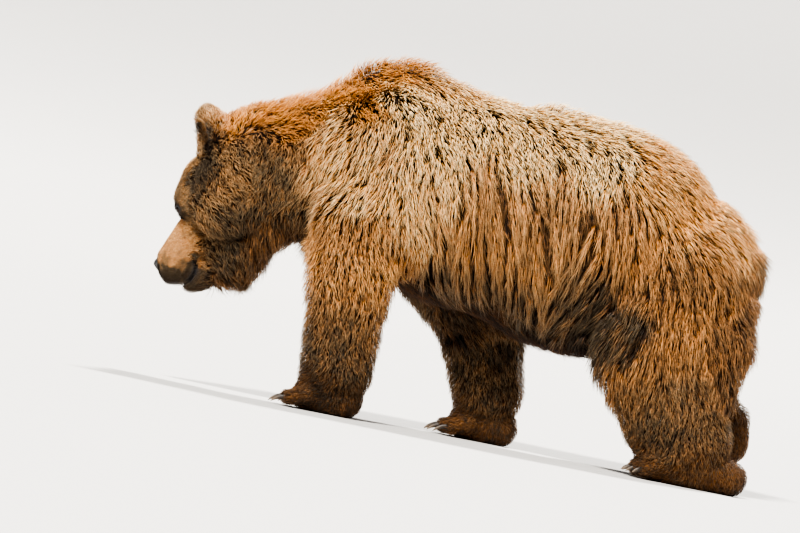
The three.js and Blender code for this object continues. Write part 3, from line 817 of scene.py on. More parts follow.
HEAD_SPOTS = (
    Spot(Kind.MUZZLE, (335, 0, 20), 42, (-1, 0.25, 0)),
    Spot(Kind.MUZZLE, (285, 20, 45), 34, (-1, 0.25, 0.1)),
    Spot(Kind.MUZZLE, (305, 55, -15), 38, (-1, 0.1, -0.35)),
    Spot(Kind.MUZZLE, (282, 62, -48), 26, (-1, 0.1, -0.35)),
    Spot(Kind.LIP, (378, 24, -54), 25, (-0.6, 0.4, -0.6)),
    Spot(Kind.SNOUT, (378, 22, -10), 16, (-0.8, 0.4, -0.3)),
    Spot(Kind.SNOUT, (346, 44, -34), 18, (-0.9, 0.3, -0.4)),
    Spot(Kind.SNOUT, (310, 56, -56), 17, (-0.9, 0.3, -0.4)),
    Spot(Kind.WHISKER, (384, 24, -30), 16, (-0.8, 0.4, -0.3)),
    Spot(Kind.WHISKER, (350, 38, -64), 22, (-0.8, 0.3, -0.6)),
    Spot(Kind.LIP, (322, 40, -96), 15, (-0.9, 0.3, -0.4)),
    Spot(Kind.WHISKER, (300, 52, -84), 16, (-0.9, 0.3, -0.3)),
    Spot(Kind.LIP, (282, 52, -70), 11, (-0.9, 0.3, -0.2)),
    Spot(Kind.BRIDGE, (258, 60, -92), 22, (-0.9, 0.2, -0.4)),
    Spot(Kind.BRIDGE, (260, 62, -36), 24, (-0.9, 0.2, -0.4)),
    Spot(Kind.BRIDGE, (254, 60, 8), 24, (-0.9, 0.2, -0.4)),
    Spot(Kind.BRIDGE, (260, 0, 72), 26, (-1, 0.2, 0.2)),
    Spot(Kind.CHIN, (345, 0, -126), 36, (-1, 0.1, -0.3)),
    Spot(Kind.CHIN, (300, 40, -128), 30, (-0.9, 0.1, -0.5)),
    Spot(Kind.LID, (243, 62, 66), 22, (-0.9, 0.3, -0.2)),
    Spot(Kind.FACE, (240, 0, 88), 38, (-0.95, 0.15, 0.3)),
    Spot(Kind.FACE, (165, 0, 170), 60, (-1, 0.15, 0.1)),
    Spot(Kind.FACE, (200, 88, 72), 40, (-0.8, 0.3, -0.2)),
    Spot(Kind.FACE, (238, 74, 8), 34, (-0.7, 0.2, -0.65)),
    Spot(Kind.TEMPLE, (140, 110, 85), 42, (-0.15, 0.1, -0.98)),
    Spot(Kind.TEMPLE, (80, 118, 90), 40, (0.05, 0.1, -0.98)),
    Spot(Kind.CHEEK, (60, 0, 175), 60, (-1, 0.1, 0.1)),
    Spot(Kind.CHEEK, (150, 140, 0), 55, (-0.2, 0, -0.97)),
    Spot(Kind.CHEEK, (200, 100, -25), 45, (-0.3, 0, -0.95)),
    Spot(Kind.JOWL, (110, 150, -70), 60, (0.15, 0, -0.98)),
    Spot(Kind.JOWL, (235, 75, -95), 38, (-0.25, 0.1, -0.95)),
    Spot(Kind.JOWL, (180, 85, -130), 50, (0.1, 0, -0.98)),
    Spot(Kind.CHEEK, (30, 150, 40), 60, (-0.1, 0, -1)),
    Spot(Kind.BEARD, (150, 40, -195), 60, (0.35, 0, -0.93)),
    Spot(Kind.BEARD, (30, 60, -150), 75, (0.3, 0, -0.95)),
    Spot(Kind.BEARD, (245, 0, -170), 40, (-0.1, 0, -1)),
    Spot(Kind.EAR, (5, 112, 205), 34, (-0.4, 0.2, 0.9)),
    Spot(Kind.EAR, (30, 55, 195), 34, (-0.4, 0.1, 0.9)),
    Spot(Kind.EAR, (94, 66, 184), 24, (-0.3, 0.2, 0.9)),
    Spot(Kind.CHEEK, (48, 126, 116), 26, (-0.15, 0.4, -0.9)),
    Spot(Kind.EAR, (40, 150, 225), 24, (-0.2, 0.3, 0.9)),
    Spot(Kind.CUP, (54, 142, 184), 30, (0.1, 0.5, 0.8)),
    Spot(Kind.CUP, (66, 124, 158), 19, (-0.2, 0.3, -0.9)),
    Spot(Kind.RUFF, (-45, 95, 175), 42, (-0.75, 0.3, 0.45)),
    Spot(Kind.RUFF, (-70, 20, 175), 50, (-0.85, 0.2, 0.4)),
)

DOWN_FORE_LEG = ((0.12, 0.0, -1.0), (0.0, 0.05, -1.0))
DOWN_HIND_LEG = ((0.1, 0.0, -1.0), (0.1, 0.05, -1.0))
DOWN_HEEL: Point = (0.1, 0.0, -1.0)
OVER_TOES: Point = (-0.9, 0.0, -0.4)
TOE_LINE = 0.7  # how far along the toes their spot lies


def leg_spots(leg: Leg) -> list[Spot]:
    """The spots of one leg, from the elbow or knee down to the toes.

    Args:
        leg: the leg.

    Returns:
        The spots.
    """
    hip, knee, ankle = (np.array(joint) for joint in leg.joints)
    fore = leg.name.endswith("fore")
    upper, lower = DOWN_FORE_LEG if fore else DOWN_HIND_LEG
    near = leg.side is Side.LEFT
    # Painted shade: the far legs take the dark SHADE fur, and the far thigh takes HAM in place of
    # THIGH.
    kind = (Kind.ARM if near else Kind.SHADE) if fore else (Kind.THIGH if near else Kind.HAM)
    shin, shank = (Kind.SHIN, Kind.LEG) if near else (Kind.SHADE, Kind.SHADE)
    foot = leg.foot
    toe_line = np.array(foot.ball) * (1, 1, 0) + (-foot.toe * TOE_LINE, 0, foot.tip)
    return [
        Spot(kind, tuple(mix(hip, knee, 0.55)), 105, upper),
        Spot(kind, tuple(mix(knee, ankle, -0.05)), 90, upper),
        Spot(shin, tuple(mix(knee, ankle, 0.38)), 80, lower),
        Spot(shank, tuple(mix(knee, ankle, 0.82)), 76, lower),
        Spot(Kind.CUFF, tuple(mix(knee, ankle, 1.12)), 62, lower),
        Spot(Kind.PAW, foot.ball, 62, OVER_TOES),
        Spot(Kind.PAW, foot.heel, 50, DOWN_HEEL),
        Spot(Kind.PAW, tuple(toe_line), 50, OVER_TOES),
    ]


class Lay:
    """The coat's build, colours and lie all over the bear, blended softly from spot to spot."""

    CHUNK = 60000
    SHARPNESS = 1.9
    BODY_WOBBLE = 26.0
    HEAD_WOBBLE = 9.0

    def __init__(self) -> None:
        """Gathers the spots of the body, the head and the legs."""
        self.body_wobble = [Ripple(110, 31 + axis) for axis in range(3)]
        self.head_wobble = [Ripple(26, 41 + axis) for axis in range(3)]
        legs = [spot for leg in LEGS for spot in leg_spots(leg)]
        self.body = self._columns(BODY_SPOTS)
        self.head = self._columns(HEAD_SPOTS)
        self.legs = self._columns(legs)
        kinds = [spot.kind for spot in (*BODY_SPOTS, *HEAD_SPOTS, *legs)]
        names = list(Kind)
        fields = Fur.fields()
        self.table = np.array([[getattr(kind.value, name) for name in fields] for kind in kinds])
        self.member = np.array([[kind is name for name in names] for kind in kinds], float)

    @staticmethod
    def _columns(spots: Sequence[Spot]) -> tuple[Array, Array, Array]:
        """The places, reaches and lies of some spots as arrays.

        Args:
            spots: the spots.

        Returns:
            One array for each.
        """
        return (
            np.array([spot.place for spot in spots], float),
            np.array([spot.reach for spot in spots], float),
            unit(np.array([spot.lie for spot in spots], float)),
        )

    @staticmethod
    def _pull(points: Array, spots: tuple[Array, Array, Array]) -> Array:
        """How weakly each spot is felt at each point.

        Args:
            points: places in millimetres.
            spots: the spots, as arrays.

        Returns:
            A row for each point and a column for each spot.
        """
        places, reaches, _ = spots
        offsets = points[:, None, :] - places[None]
        return np.einsum("ijk,ijk->ij", offsets, offsets) / reaches**2

    def _shares(self, points: Array) -> tuple[Array, Array, Array]:
        """Each spot's share at each point, and on which side of body and head the points lie.

        Args:
            points: places in millimetres.

        Returns:
            The shares, the side of the body and the side of the head.
        """
        local = HEAD.local(points)
        shift = np.column_stack([ripple(points) for ripple in self.body_wobble]) * self.BODY_WOBBLE
        body = mirrored(points) + shift
        ripples = np.column_stack([ripple(points) for ripple in self.head_wobble])
        head = mirrored(local) + ripples * self.HEAD_WOBBLE
        places = ((body, self.body), (head, self.head), (points + shift, self.legs))
        pull = np.hstack([self._pull(*pair) for pair in places])
        pull = np.exp(self.SHARPNESS * (pull.min(axis=1, keepdims=True) - pull))
        return pull / pull.sum(axis=1, keepdims=True), np.sign(points[:, 1]), np.sign(local[:, 1])

    def fur(self, points: Array) -> dict[str, Array]:
        """Each value of the fur at each point, and the lie of the hair there.

        Args:
            points: places in millimetres.

        Returns:
            The values by name.
        """
        values, lies, members = [], [], []
        for start in range(0, len(points), self.CHUNK):
            part = points[start : start + self.CHUNK]
            shares, side, head_side = self._shares(part)
            values.append(shares @ self.table)
            members.append(shares @ self.member)
            lies.append(self._lie(shares, side, head_side))
        table = np.vstack(values)
        fur = {name: table[:, column] for column, name in enumerate(Fur.fields())}
        fur["lie"] = np.vstack(lies)
        fur["members"] = np.vstack(members)
        return fur

    def _lie(self, shares: Array, side: Array, head_side: Array) -> Array:
        """The way that the hair lies, in the bear's own frame.

        Args:
            shares: each spot's share.
            side: the side of the body.
            head_side: the side of the head.

        Returns:
            A direction for each point.
        """
        ends = np.cumsum([len(self.body[0]), len(self.head[0]), len(self.legs[0])])
        body = shares[:, : ends[0]] @ self.body[2]
        body[:, 1] *= side
        head = shares[:, ends[0] : ends[1]] @ self.head[2]
        head[:, 1] *= head_side
        legs = shares[:, ends[1] :] @ self.legs[2]
        return body + head @ HEAD.axes.T + legs

    def depth(self, points: Array) -> Array:
        """How far the skin lies below the tips of the coat.

        Args:
            points: places in millimetres.

        Returns:
            The depths.
        """
        depths = [
            self._shares(points[start : start + self.CHUNK])[0] @ self.table[:, 0]
            for start in range(0, len(points), self.CHUNK)
        ]
        return np.concatenate(depths)


# --- nets: closed quads over a form


class Net:
    """A closed net of quads over the surface where a field is nought."""

    COARSE = 4

    def __init__(self, field: Field, low: Array, high: Array, cell: float) -> None:
        """Casts the net.

        Args:
            field: a function from points to distances.
            low: the lowest corner of the room that the form lies in.
            high: the highest corner of it.
            cell: how wide the meshes of the net are.
        """
        self.low, self.cell = np.asarray(low, float), cell
        counts = np.ceil((np.asarray(high) - self.low) / (cell * self.COARSE)).astype(int)
        self.values = self._sample(field, counts)
        self.points, self.quads = self._weave()

    def _widened(self, blocks: Array) -> Array:
        """Each block's value, given to all the small cells in it."""
        return np.kron(blocks, np.ones((self.COARSE,) * 3, blocks.dtype))

    def _sample(self, field: Field, counts: Array) -> Array:
        """The field at each knot of the grid, worked out in full only near the surface.

        Args:
            field: the distances.
            counts: how many wide cells there are each way.

        Returns:
            The values.
        """
        wide = self.cell * self.COARSE
        knots = np.indices(counts + 1).reshape(3, -1).T * wide + self.low
        coarse = field(knots).reshape(counts + 1)
        near = np.zeros(counts, bool)
        for corner in np.ndindex(2, 2, 2):
            block = coarse[tuple(slice(c, c + n) for c, n in zip(corner, counts))]
            near |= np.abs(block) < 2 * wide
        fine = self._widened(near)
        values = self._widened(coarse[:-1, :-1, :-1])
        cells = np.argwhere(fine)
        values[fine] = field(cells * self.cell + self.low)
        return values

    def _weave(self) -> tuple[Array, Array]:
        """A knot in each cell that the surface passes through, and a quad round each edge.

        Returns:
            The knots and the quads.
        """
        values, shape = self.values, np.array(self.values.shape)
        count = np.zeros(shape - 1)
        total = np.zeros((*(shape - 1), 3))
        crossings = []
        for axis in range(3):
            near, far = np.delete(values, -1, axis), np.delete(values, 0, axis)
            where = np.argwhere((near < 0) != (far < 0))
            index = tuple(where.T)
            share = near[index] / (near[index] - far[index])
            places = where.astype(float)
            places[:, axis] += share
            crossings.append((axis, where, near[index] < 0))
            others = [a for a in range(3) if a != axis]
            for step in np.ndindex(2, 2):
                cells = where.copy()
                cells[:, others[0]] -= step[0]
                cells[:, others[1]] -= step[1]
                kept = ((cells >= 0) & (cells < shape - 1)).all(axis=1)
                cell_index = tuple(cells[kept].T)
                np.add.at(count, cell_index, 1)
                np.add.at(total, cell_index, places[kept])
        used = count > 0
        number = np.full(shape - 1, -1)
        number[used] = np.arange(used.sum())
        points = total[used] / count[used][:, None] * self.cell + self.low
        return points, self._quads(number, crossings)

    @staticmethod
    def _quads(number: Array, crossings: list[tuple[int, Array, Array]]) -> Array:
        """A quad round each crossed edge of the grid, wound so that it faces outwards.

        Args:
            number: each cell's knot.
            crossings: by axis, the crossed edges and which run outwards.

        Returns:
            The quads.
        """
        quads = []
        for axis, where, inside_first in crossings:
            u, v = (axis + 1) % 3, (axis + 2) % 3
            ring = []
            for du, dv in ((0, 0), (1, 0), (1, 1), (0, 1)):
                cells = where.copy()
                cells[:, u] -= du
                cells[:, v] -= dv
                kept = ((cells >= 0) & (cells < number.shape)).all(axis=1)
                corner = np.full(len(cells), -1)
                corner[kept] = number[tuple(cells[kept].T)]
                ring.append(corner)
            faces = np.column_stack(ring)
            faces = np.where(inside_first[:, None], faces, faces[:, ::-1])
            quads.append(faces[(faces >= 0).all(axis=1)])
        return np.vstack(quads)


PULLS = 2  # how often points are pulled onto a surface
LEAST_SLOPE = 0.2


def slope_of(field: Field, points: Array, step: float) -> tuple[Array, Array]:
    """A field's values at points, and its slopes there.

    Args:
        field: the field.
        points: places in millimetres.
        step: how far apart it is measured.

    Returns:
        The values and the slopes.
    """
    here = field(points)
    slopes = np.column_stack([(field(points + step * axis) - here) / step for axis in np.eye(3)])
    return here, slopes


def settle(field: Field, points: Array, step: float, furthest: float) -> Array:
    """Points pulled onto the surface where a field is nought.

    Args:
        field: a function from points to distances.
        points: where they are.
        step: how far apart the slope is measured.
        furthest: how far a point may go in one round.

    Returns:
        The points, on the surface.
    """
    for _ in range(PULLS):
        here, slopes = slope_of(field, points, step)
        steep = np.maximum(np.einsum("ij,ij->i", slopes, slopes), LEAST_SLOPE)
        moves = -slopes * (here / steep)[:, None]
        lengths = np.linalg.norm(moves, axis=1, keepdims=True)
        points = points + moves * np.minimum(1, furthest / np.maximum(lengths, TINY))
    return points


# --- meshes


def placed(mesh: bpy.types.Mesh) -> Thing:
    """An object in the scene that shows a mesh, shaded smooth, under the mesh's name.

    Args:
        mesh: the mesh.

    Returns:
        The object.
    """
    mesh.polygons.foreach_set("use_smooth", np.ones(len(mesh.polygons), bool))
    thing = bpy.data.objects.new(mesh.name, mesh)
    bpy.context.scene.collection.objects.link(thing)
    return thing


def mesh_of(name: str, points: Array, faces: Array) -> Thing:
    """A mesh object from points in metres and faces with equally many corners.

    Args:
        name: its name.
        points: places in metres.
        faces: numbers of points.

    Returns:
        The object.
    """
    mesh = bpy.data.meshes.new(name)
    mesh.vertices.add(len(points))
    mesh.vertices.foreach_set("co", np.ascontiguousarray(points, np.float32).ravel())
    mesh.loops.add(faces.size)
    mesh.loops.foreach_set("vertex_index", np.ascontiguousarray(faces, np.int32).ravel())
    mesh.polygons.add(len(faces))
    starts = np.arange(0, faces.size, faces.shape[1], dtype=np.int32)
    mesh.polygons.foreach_set("loop_start", starts)
    mesh.update(calc_edges=True)
    return placed(mesh)


def give_vectors(mesh: bpy.types.Mesh, name: str, values: Array) -> None:
    """Three values at each vertex, for a material to read."""
    attribute = mesh.attributes.new(name, "FLOAT_VECTOR", "POINT")
    attribute.data.foreach_set("vector", np.ascontiguousarray(values, np.float32).ravel())


def vectors_of(mesh: bpy.types.Mesh, name: str) -> Array:
    """What each vertex of a mesh has under a name: "co" for its place, "normal" for its normal.

    Args:
        mesh: the mesh.
        name: its name.

    Returns:
        Three numbers for each vertex.
    """
    values = np.zeros(len(mesh.vertices) * 3, np.float32)
    mesh.vertices.foreach_get(name, values)
    return values.reshape(-1, 3).astype(float)


def triangles_of(mesh: bpy.types.Mesh) -> Array:
    """A mesh's triangles as an array of corner numbers.

    Args:
        mesh: the mesh.

    Returns:
        Three numbers for each triangle.
    """
    mesh.calc_loop_triangles()
    corners = np.zeros(len(mesh.loop_triangles) * 3, np.int32)
    mesh.loop_triangles.foreach_get("vertices", corners)
    return corners.reshape(-1, 3)


# --- shaders


class Sock:
    """A socket of a shader that can be reckoned with: each operator adds its own node."""

    def __init__(self, shader: "Shader", socket: bpy.types.NodeSocket | None) -> None:
        """Wraps a socket of a shader."""
        self.shader, self.socket = shader, socket

    def _math(self, operation: str, *values: "Sock | float") -> "Sock":
        """A Math node on some values."""
        return self.shader.node("ShaderNodeMath", {"operation": operation}, dict(enumerate(values)))

    def __add__(self, other: "Sock | float") -> "Sock":
        """A sum."""
        return self._math("ADD", self, other)

    __radd__ = __add__

    def __mul__(self, other: "Sock | float") -> "Sock":
        """A product."""
        return self._math("MULTIPLY", self, other)

    __rmul__ = __mul__

    def __sub__(self, other: "Sock | float") -> "Sock":
        """A difference."""
        return self._math("SUBTRACT", self, other)

    def __rsub__(self, other: "Sock | float") -> "Sock":
        """A difference from a number."""
        return self._math("SUBTRACT", other, self)

    def clamped(self) -> "Sock":
        """The value kept between nought and one."""
        return self.shader.node("ShaderNodeClamp", {}, {0: self})

    def ramp(self, low: float, high: float) -> "Sock":
        """A soft rise from nought at low to one at high."""
        values = {0: self, 1: low, 2: high, 3: 0.0, 4: 1.0}
        return self.shader.node("ShaderNodeMapRange", {"interpolation_type": "SMOOTHSTEP"}, values)


class Shader:
    """A material's nodes, with one method that makes any of them."""

    CLOUDY = 0.55

    def __init__(self, name: str) -> None:
        """Makes an empty material.

        Args:
            name: its name.
        """
        self.material = bpy.data.materials.new(name)
        self.material.use_nodes = True
        self.tree = self.material.node_tree
        self.tree.nodes.clear()

    def node(self, kind: str, settings: dict, values: dict, output: int | str = 0) -> Sock:
        """Adds a node.

        Args:
            kind: the node's type.
            settings: what is set on the node itself, or a ramp's stops.
            values: the values or links of its sockets, by number or name.
            output: which of its outputs is meant.

        Returns:
            The output, as a socket to reckon with, or an empty one where the node has none.
        """
        node = self.tree.nodes.new(kind)
        for name, value in settings.items():
            if name == "stops":
                self._stops(node.color_ramp, value)
            else:
                setattr(node, name, value)
        for name, value in values.items():
            if isinstance(value, Sock):
                self.tree.links.new(value.socket, node.inputs[name])
            else:
                node.inputs[name].default_value = value
        return Sock(self, node.outputs[output] if node.outputs else None)

    @staticmethod
    def _stops(ramp: bpy.types.ColorRamp, stops: list) -> None:
        """Sets a colour ramp's stops, each a place and a colour.

        Args:
            ramp: the ramp.
            stops: the stops.
        """
        while len(ramp.elements) < len(stops):
            ramp.elements.new(1)
        for element, (place, colour) in zip(ramp.elements, stops):
            element.position = place
            element.color = (*colour, 1)

    def attribute(self, name: str) -> tuple[Sock, Sock, Sock]:
        """The three values that a mesh carries under a name."""
        vector = self.node("ShaderNodeAttribute", {"attribute_name": name}, {}, "Vector")
        return tuple(self.node("ShaderNodeSeparateXYZ", {}, {0: vector}, axis) for axis in range(3))

    def blend(self, share: Sock, a: Sock | Colour, b: Sock | Colour) -> Sock:
        """A mix of two colours."""
        values = {0: share, 6: self._colour(a), 7: self._colour(b)}
        return self.node("ShaderNodeMix", {"data_type": "RGBA"}, values, 2)

    @staticmethod
    def _colour(colour: Sock | Colour) -> Sock | tuple:
        """A colour as a socket takes it."""
        return colour if isinstance(colour, Sock) else (*colour, 1)

    def noise(self, place: Sock, scale: float, detail: float = 3) -> Sock:
        """A cloudy unevenness from nought to one."""
        values = {"Vector": place, "Scale": scale, "Detail": detail, "Roughness": self.CLOUDY}
        return self.node("ShaderNodeTexNoise", {}, values)

    def place(self) -> Sock:
        """The place in the object's own frame, in metres."""
        return self.node("ShaderNodeTexCoord", {}, {}, "Object")

    def bump(self, height: Sock, strength: float, distance: float) -> Sock:
        """A relief from a height."""
        values = {"Strength": strength, "Distance": distance, "Height": height}
        return self.node("ShaderNodeBump", {}, values)

    def finish(self, values: dict) -> Material:
        """Ends the nodes in a principled surface with the given values.

        Args:
            values: the values or links of the surface's sockets.

        Returns:
            The material.
        """
        surface = self.node("ShaderNodeBsdfPrincipled", {}, values)
        self.node("ShaderNodeOutputMaterial", {}, {0: surface})
        return self.material


@dataclass(frozen=True)
class CoatFinish:
    """The colours of the coat, from its dark roots to its pale tips. The root colour is also
    painted shade in the depths of the coat.
    """

    # The root colour: the hair's own dark base, and painted shade deep in the coat.
    root: Colour = (0.020, 0.009, 0.004)
    dark: Colour = (0.022, 0.010, 0.005)
    brown: Colour = (0.105, 0.040, 0.013)
    middle: Colour = (0.33, 0.125, 0.044)
    light: Colour = (0.78, 0.44, 0.11)
    orange: Colour = (0.78, 0.285, 0.016)
    pale: Colour = (1.0, 0.79, 0.47)
    steps: tuple[float, ...] = (0.0, 0.28, 0.58, 1.0)  # the tones that dark to light stand for
    clouds: Pair = (9.0, 120.0)  # how fine the clouds in the tone are
    cloudy: float = 0.4
    mixed: float = 0.42  # how far the tones of single hairs lie apart
    glow: float = 0.95  # how much orange a warm hair takes on
    tip: Pair = (0.25, 0.85)  # where along a hair the frost sets in
    frosted: Pair = (0.4, 0.9)  # the frost on every hair, and what its lot adds
    # The dark of the root is partly the hair's own darker base and partly painted shade deep in the
    # coat.
    rooted: float = 0.48  # how far up a hair the dark of its root reaches
    # Painted shade: how dark the roots are painted, and how dark the hairs deep in a lock are
    # painted.
    dim: Pair = (0.8, 0.65)  # how dark roots and the depths of a lock are
    streaks: float = 260.0
    dry: float = 0.62
    wet: float = 0.22  # how much smoother a wet hair is

    def colour(self, shader: Shader, marks: tuple[Sock, ...], strand: tuple[Sock, ...]) -> Sock:
        """The colour of a hair.

        Args:
            shader: where the nodes go.
            marks: tone, warmth and frost.
            strand: the place along the hair, its own lot, and its painted shade for lying deep in
                its lock.

        Returns:
            The colour.
        """
        tone, warmth, frost = marks
        along, lot, painted_shade = strand
        place = shader.place()
        wide, fine = (shader.noise(place, scale, 2) - 0.5 for scale in self.clouds)
        cloud = wide * self.cloudy + fine * self.cloudy
        toned = (tone + (lot - 0.5) * self.mixed + cloud).clamped()
        stops = list(zip(self.steps, (self.dark, self.brown, self.middle, self.light)))
        base = shader.node("ShaderNodeValToRGB", {"stops": stops}, {0: toned})
        base = shader.blend((warmth * toned * self.glow).clamped(), base, self.orange)
        least, more = self.frosted
        tips = (along.ramp(*self.tip) * frost * (least + lot * more)).clamped()
        base = shader.blend(tips, base, self.pale)
        # Painted shade: the root colour is blended in towards the root and on hairs deep in a lock.
        at_root, painted_lock_shade = self.dim
        dim = (1 - along.ramp(0.0, self.rooted)) * at_root + painted_shade * painted_lock_shade
        return shader.blend(dim.clamped(), base, self.root)

    def hair(self, name: str, gloss: float) -> Material:
        """The material of the hairs.

        Args:
            name: its name.
            gloss: how wet the hair looks, from nought to one.

        Returns:
            The material.
        """
        shader = Shader(name)
        colour = self.colour(shader, shader.attribute("marks"), shader.attribute("strand"))
        streak = shader.noise(shader.place(), self.streaks, 2)
        roughness = self.dry - self.wet * gloss + (streak - 0.5) * 0.2
        values = {"Base Color": colour, "Roughness": roughness}
        return shader.finish({**values, "Specular IOR Level": 0.35 + 0.25 * gloss})


@dataclass(frozen=True)
class SkinFinish:
    """The skin under the coat, with bare dark lips, lids and soles, and painted shade where a long
    coat covers it.
    """

    coat: CoatFinish = CoatFinish()
    bare: Colour = (0.004, 0.004, 0.005)
    worn: Colour = (0.017, 0.016, 0.020)
    frosted: float = 0.5  # the skin's share of the frost of its hairs
    fuzz: float = 420.0
    creases: float = 160.0
    patches: float = 90.0
    dry: float = 0.8
    wet: float = 0.3  # how much smoother bare skin is
    relief: Pair = (0.5, 0.002)

    def make(self, name: str) -> Material:
        """The material of the skin.

        Args:
            name: its name.

        Returns:
            The material.
        """
        shader = Shader(name)
        tone, warmth, frost = shader.attribute("marks")
        bare, shade, painted_shade = shader.attribute("skin")
        place = shader.place()
        fuzz = shader.noise(place, self.fuzz)
        marks = (tone, warmth, frost * self.frosted)
        # Painted shade: under a long coat the skin takes the root colour, as the coat's depths do.
        colour = self.coat.colour(shader, marks, (shade, fuzz, painted_shade))
        leather = shader.blend(shader.noise(place, self.patches, 4), self.bare, self.worn)
        colour = shader.blend(bare, colour, leather)
        roughness = self.dry - self.wet * bare + (fuzz - 0.5) * 0.15
        relief = shader.bump(fuzz + shader.noise(place, self.creases, 2) * bare, *self.relief)
        values = {"Base Color": colour, "Roughness": roughness, "Normal": relief}
        return shader.finish({**values, "Specular IOR Level": 0.25})


@dataclass(frozen=True)
class NoseFinish:
    """Wet, pebbled, blue-black leather."""

    dark: Colour = (0.012, 0.012, 0.015)
    grey: Colour = (0.075, 0.078, 0.092)
    pebbles: float = 520.0
    patches: float = 60.0
    smears: float = 140.0
    relief: Pair = (0.6, 0.0012)

    def make(self, name: str) -> Material:
        """The material of the nose.

        Args:
            name: its name.

        Returns:
            The material.
        """
        shader = Shader(name)
        place = shader.place()
        values = {"Vector": place, "Scale": self.pebbles}
        cells = shader.node("ShaderNodeTexVoronoi", {}, values)
        colour = shader.blend(shader.noise(place, self.patches, 4), self.dark, self.grey)
        # Painted shade: the grooves between the pebbles are darkened.
        colour = shader.blend((cells * 1.4).clamped(), colour, self.dark)
        relief = shader.bump(1 - cells, *self.relief)
        roughness = 0.32 + 0.2 * shader.noise(place, self.smears)
        return shader.finish({"Base Color": colour, "Roughness": roughness, "Normal": relief})


@dataclass(frozen=True)
class EyeFinish:
    """A dark brown eye with a round black pupil, under a clear wet surface."""

    pupil: Colour = (0.002, 0.002, 0.002)
    iris: Colour = (0.010, 0.004, 0.002)
    ray: Colour = (0.028, 0.012, 0.005)
    rim: Colour = (0.004, 0.003, 0.002)
    pupil_edge: Pair = (0.34, 0.4)
    rim_edge: Pair = (0.74, 0.9)
    fibres: float = 9.0  # how fine the rays of the iris are

    def make(self, name: str) -> Material:
        """The material of an eye, whose own third value is nought in the middle of the pupil.

        Args:
            name: its name.

        Returns:
            The material.
        """
        shader = Shader(name)
        turn, rays, reach = shader.attribute("eye")
        values = {0: turn * self.fibres, 1: rays * self.fibres, 2: reach}
        fibres = shader.noise(shader.node("ShaderNodeCombineXYZ", {}, values), 3.0, 4)
        iris = shader.blend(fibres, self.iris, self.ray)
        colour = shader.blend(reach.ramp(*self.pupil_edge), self.pupil, iris)
        colour = shader.blend(reach.ramp(*self.rim_edge), colour, self.rim)
        values = {"Base Color": colour, "Roughness": 0.18 + 0.05 * fibres}
        return shader.finish({**values, "Specular IOR Level": 0.3})


@dataclass(frozen=True)
class ClawFinish:
    """Worn horn, dark at the root and paler to the tip, with streaks along it."""

    dark: Colour = (0.030, 0.022, 0.017)
    pale: Colour = (0.26, 0.19, 0.13)
    grain: Point = (14, 1.5, 20)  # how fine the streaks are around, along and from toe to toe
    worn: Pair = (0.25, 1.0)
    relief: Pair = (0.4, 0.0008)

    def make(self, name: str) -> Material:
        """The material of the claws.

        Args:
            name: its name.

        Returns:
            The material.
        """
        shader = Shader(name)
        along, around, lot = shader.attribute("horn")
        scaled = [value * scale for value, scale in zip((around, along, lot), self.grain)]
        place = shader.node("ShaderNodeCombineXYZ", {}, dict(enumerate(scaled)))
        grain = shader.noise(place, 2.0, 4)
        share = (along.ramp(*self.worn) * 0.75 + (grain - 0.5) * 0.5).clamped()
        colour = shader.blend(share, self.dark, self.pale)
        relief = shader.bump(grain, *self.relief)
        values = {"Base Color": colour, "Roughness": 0.34 + 0.3 * grain, "Normal": relief}
        return shader.finish(values)


# --- the skin


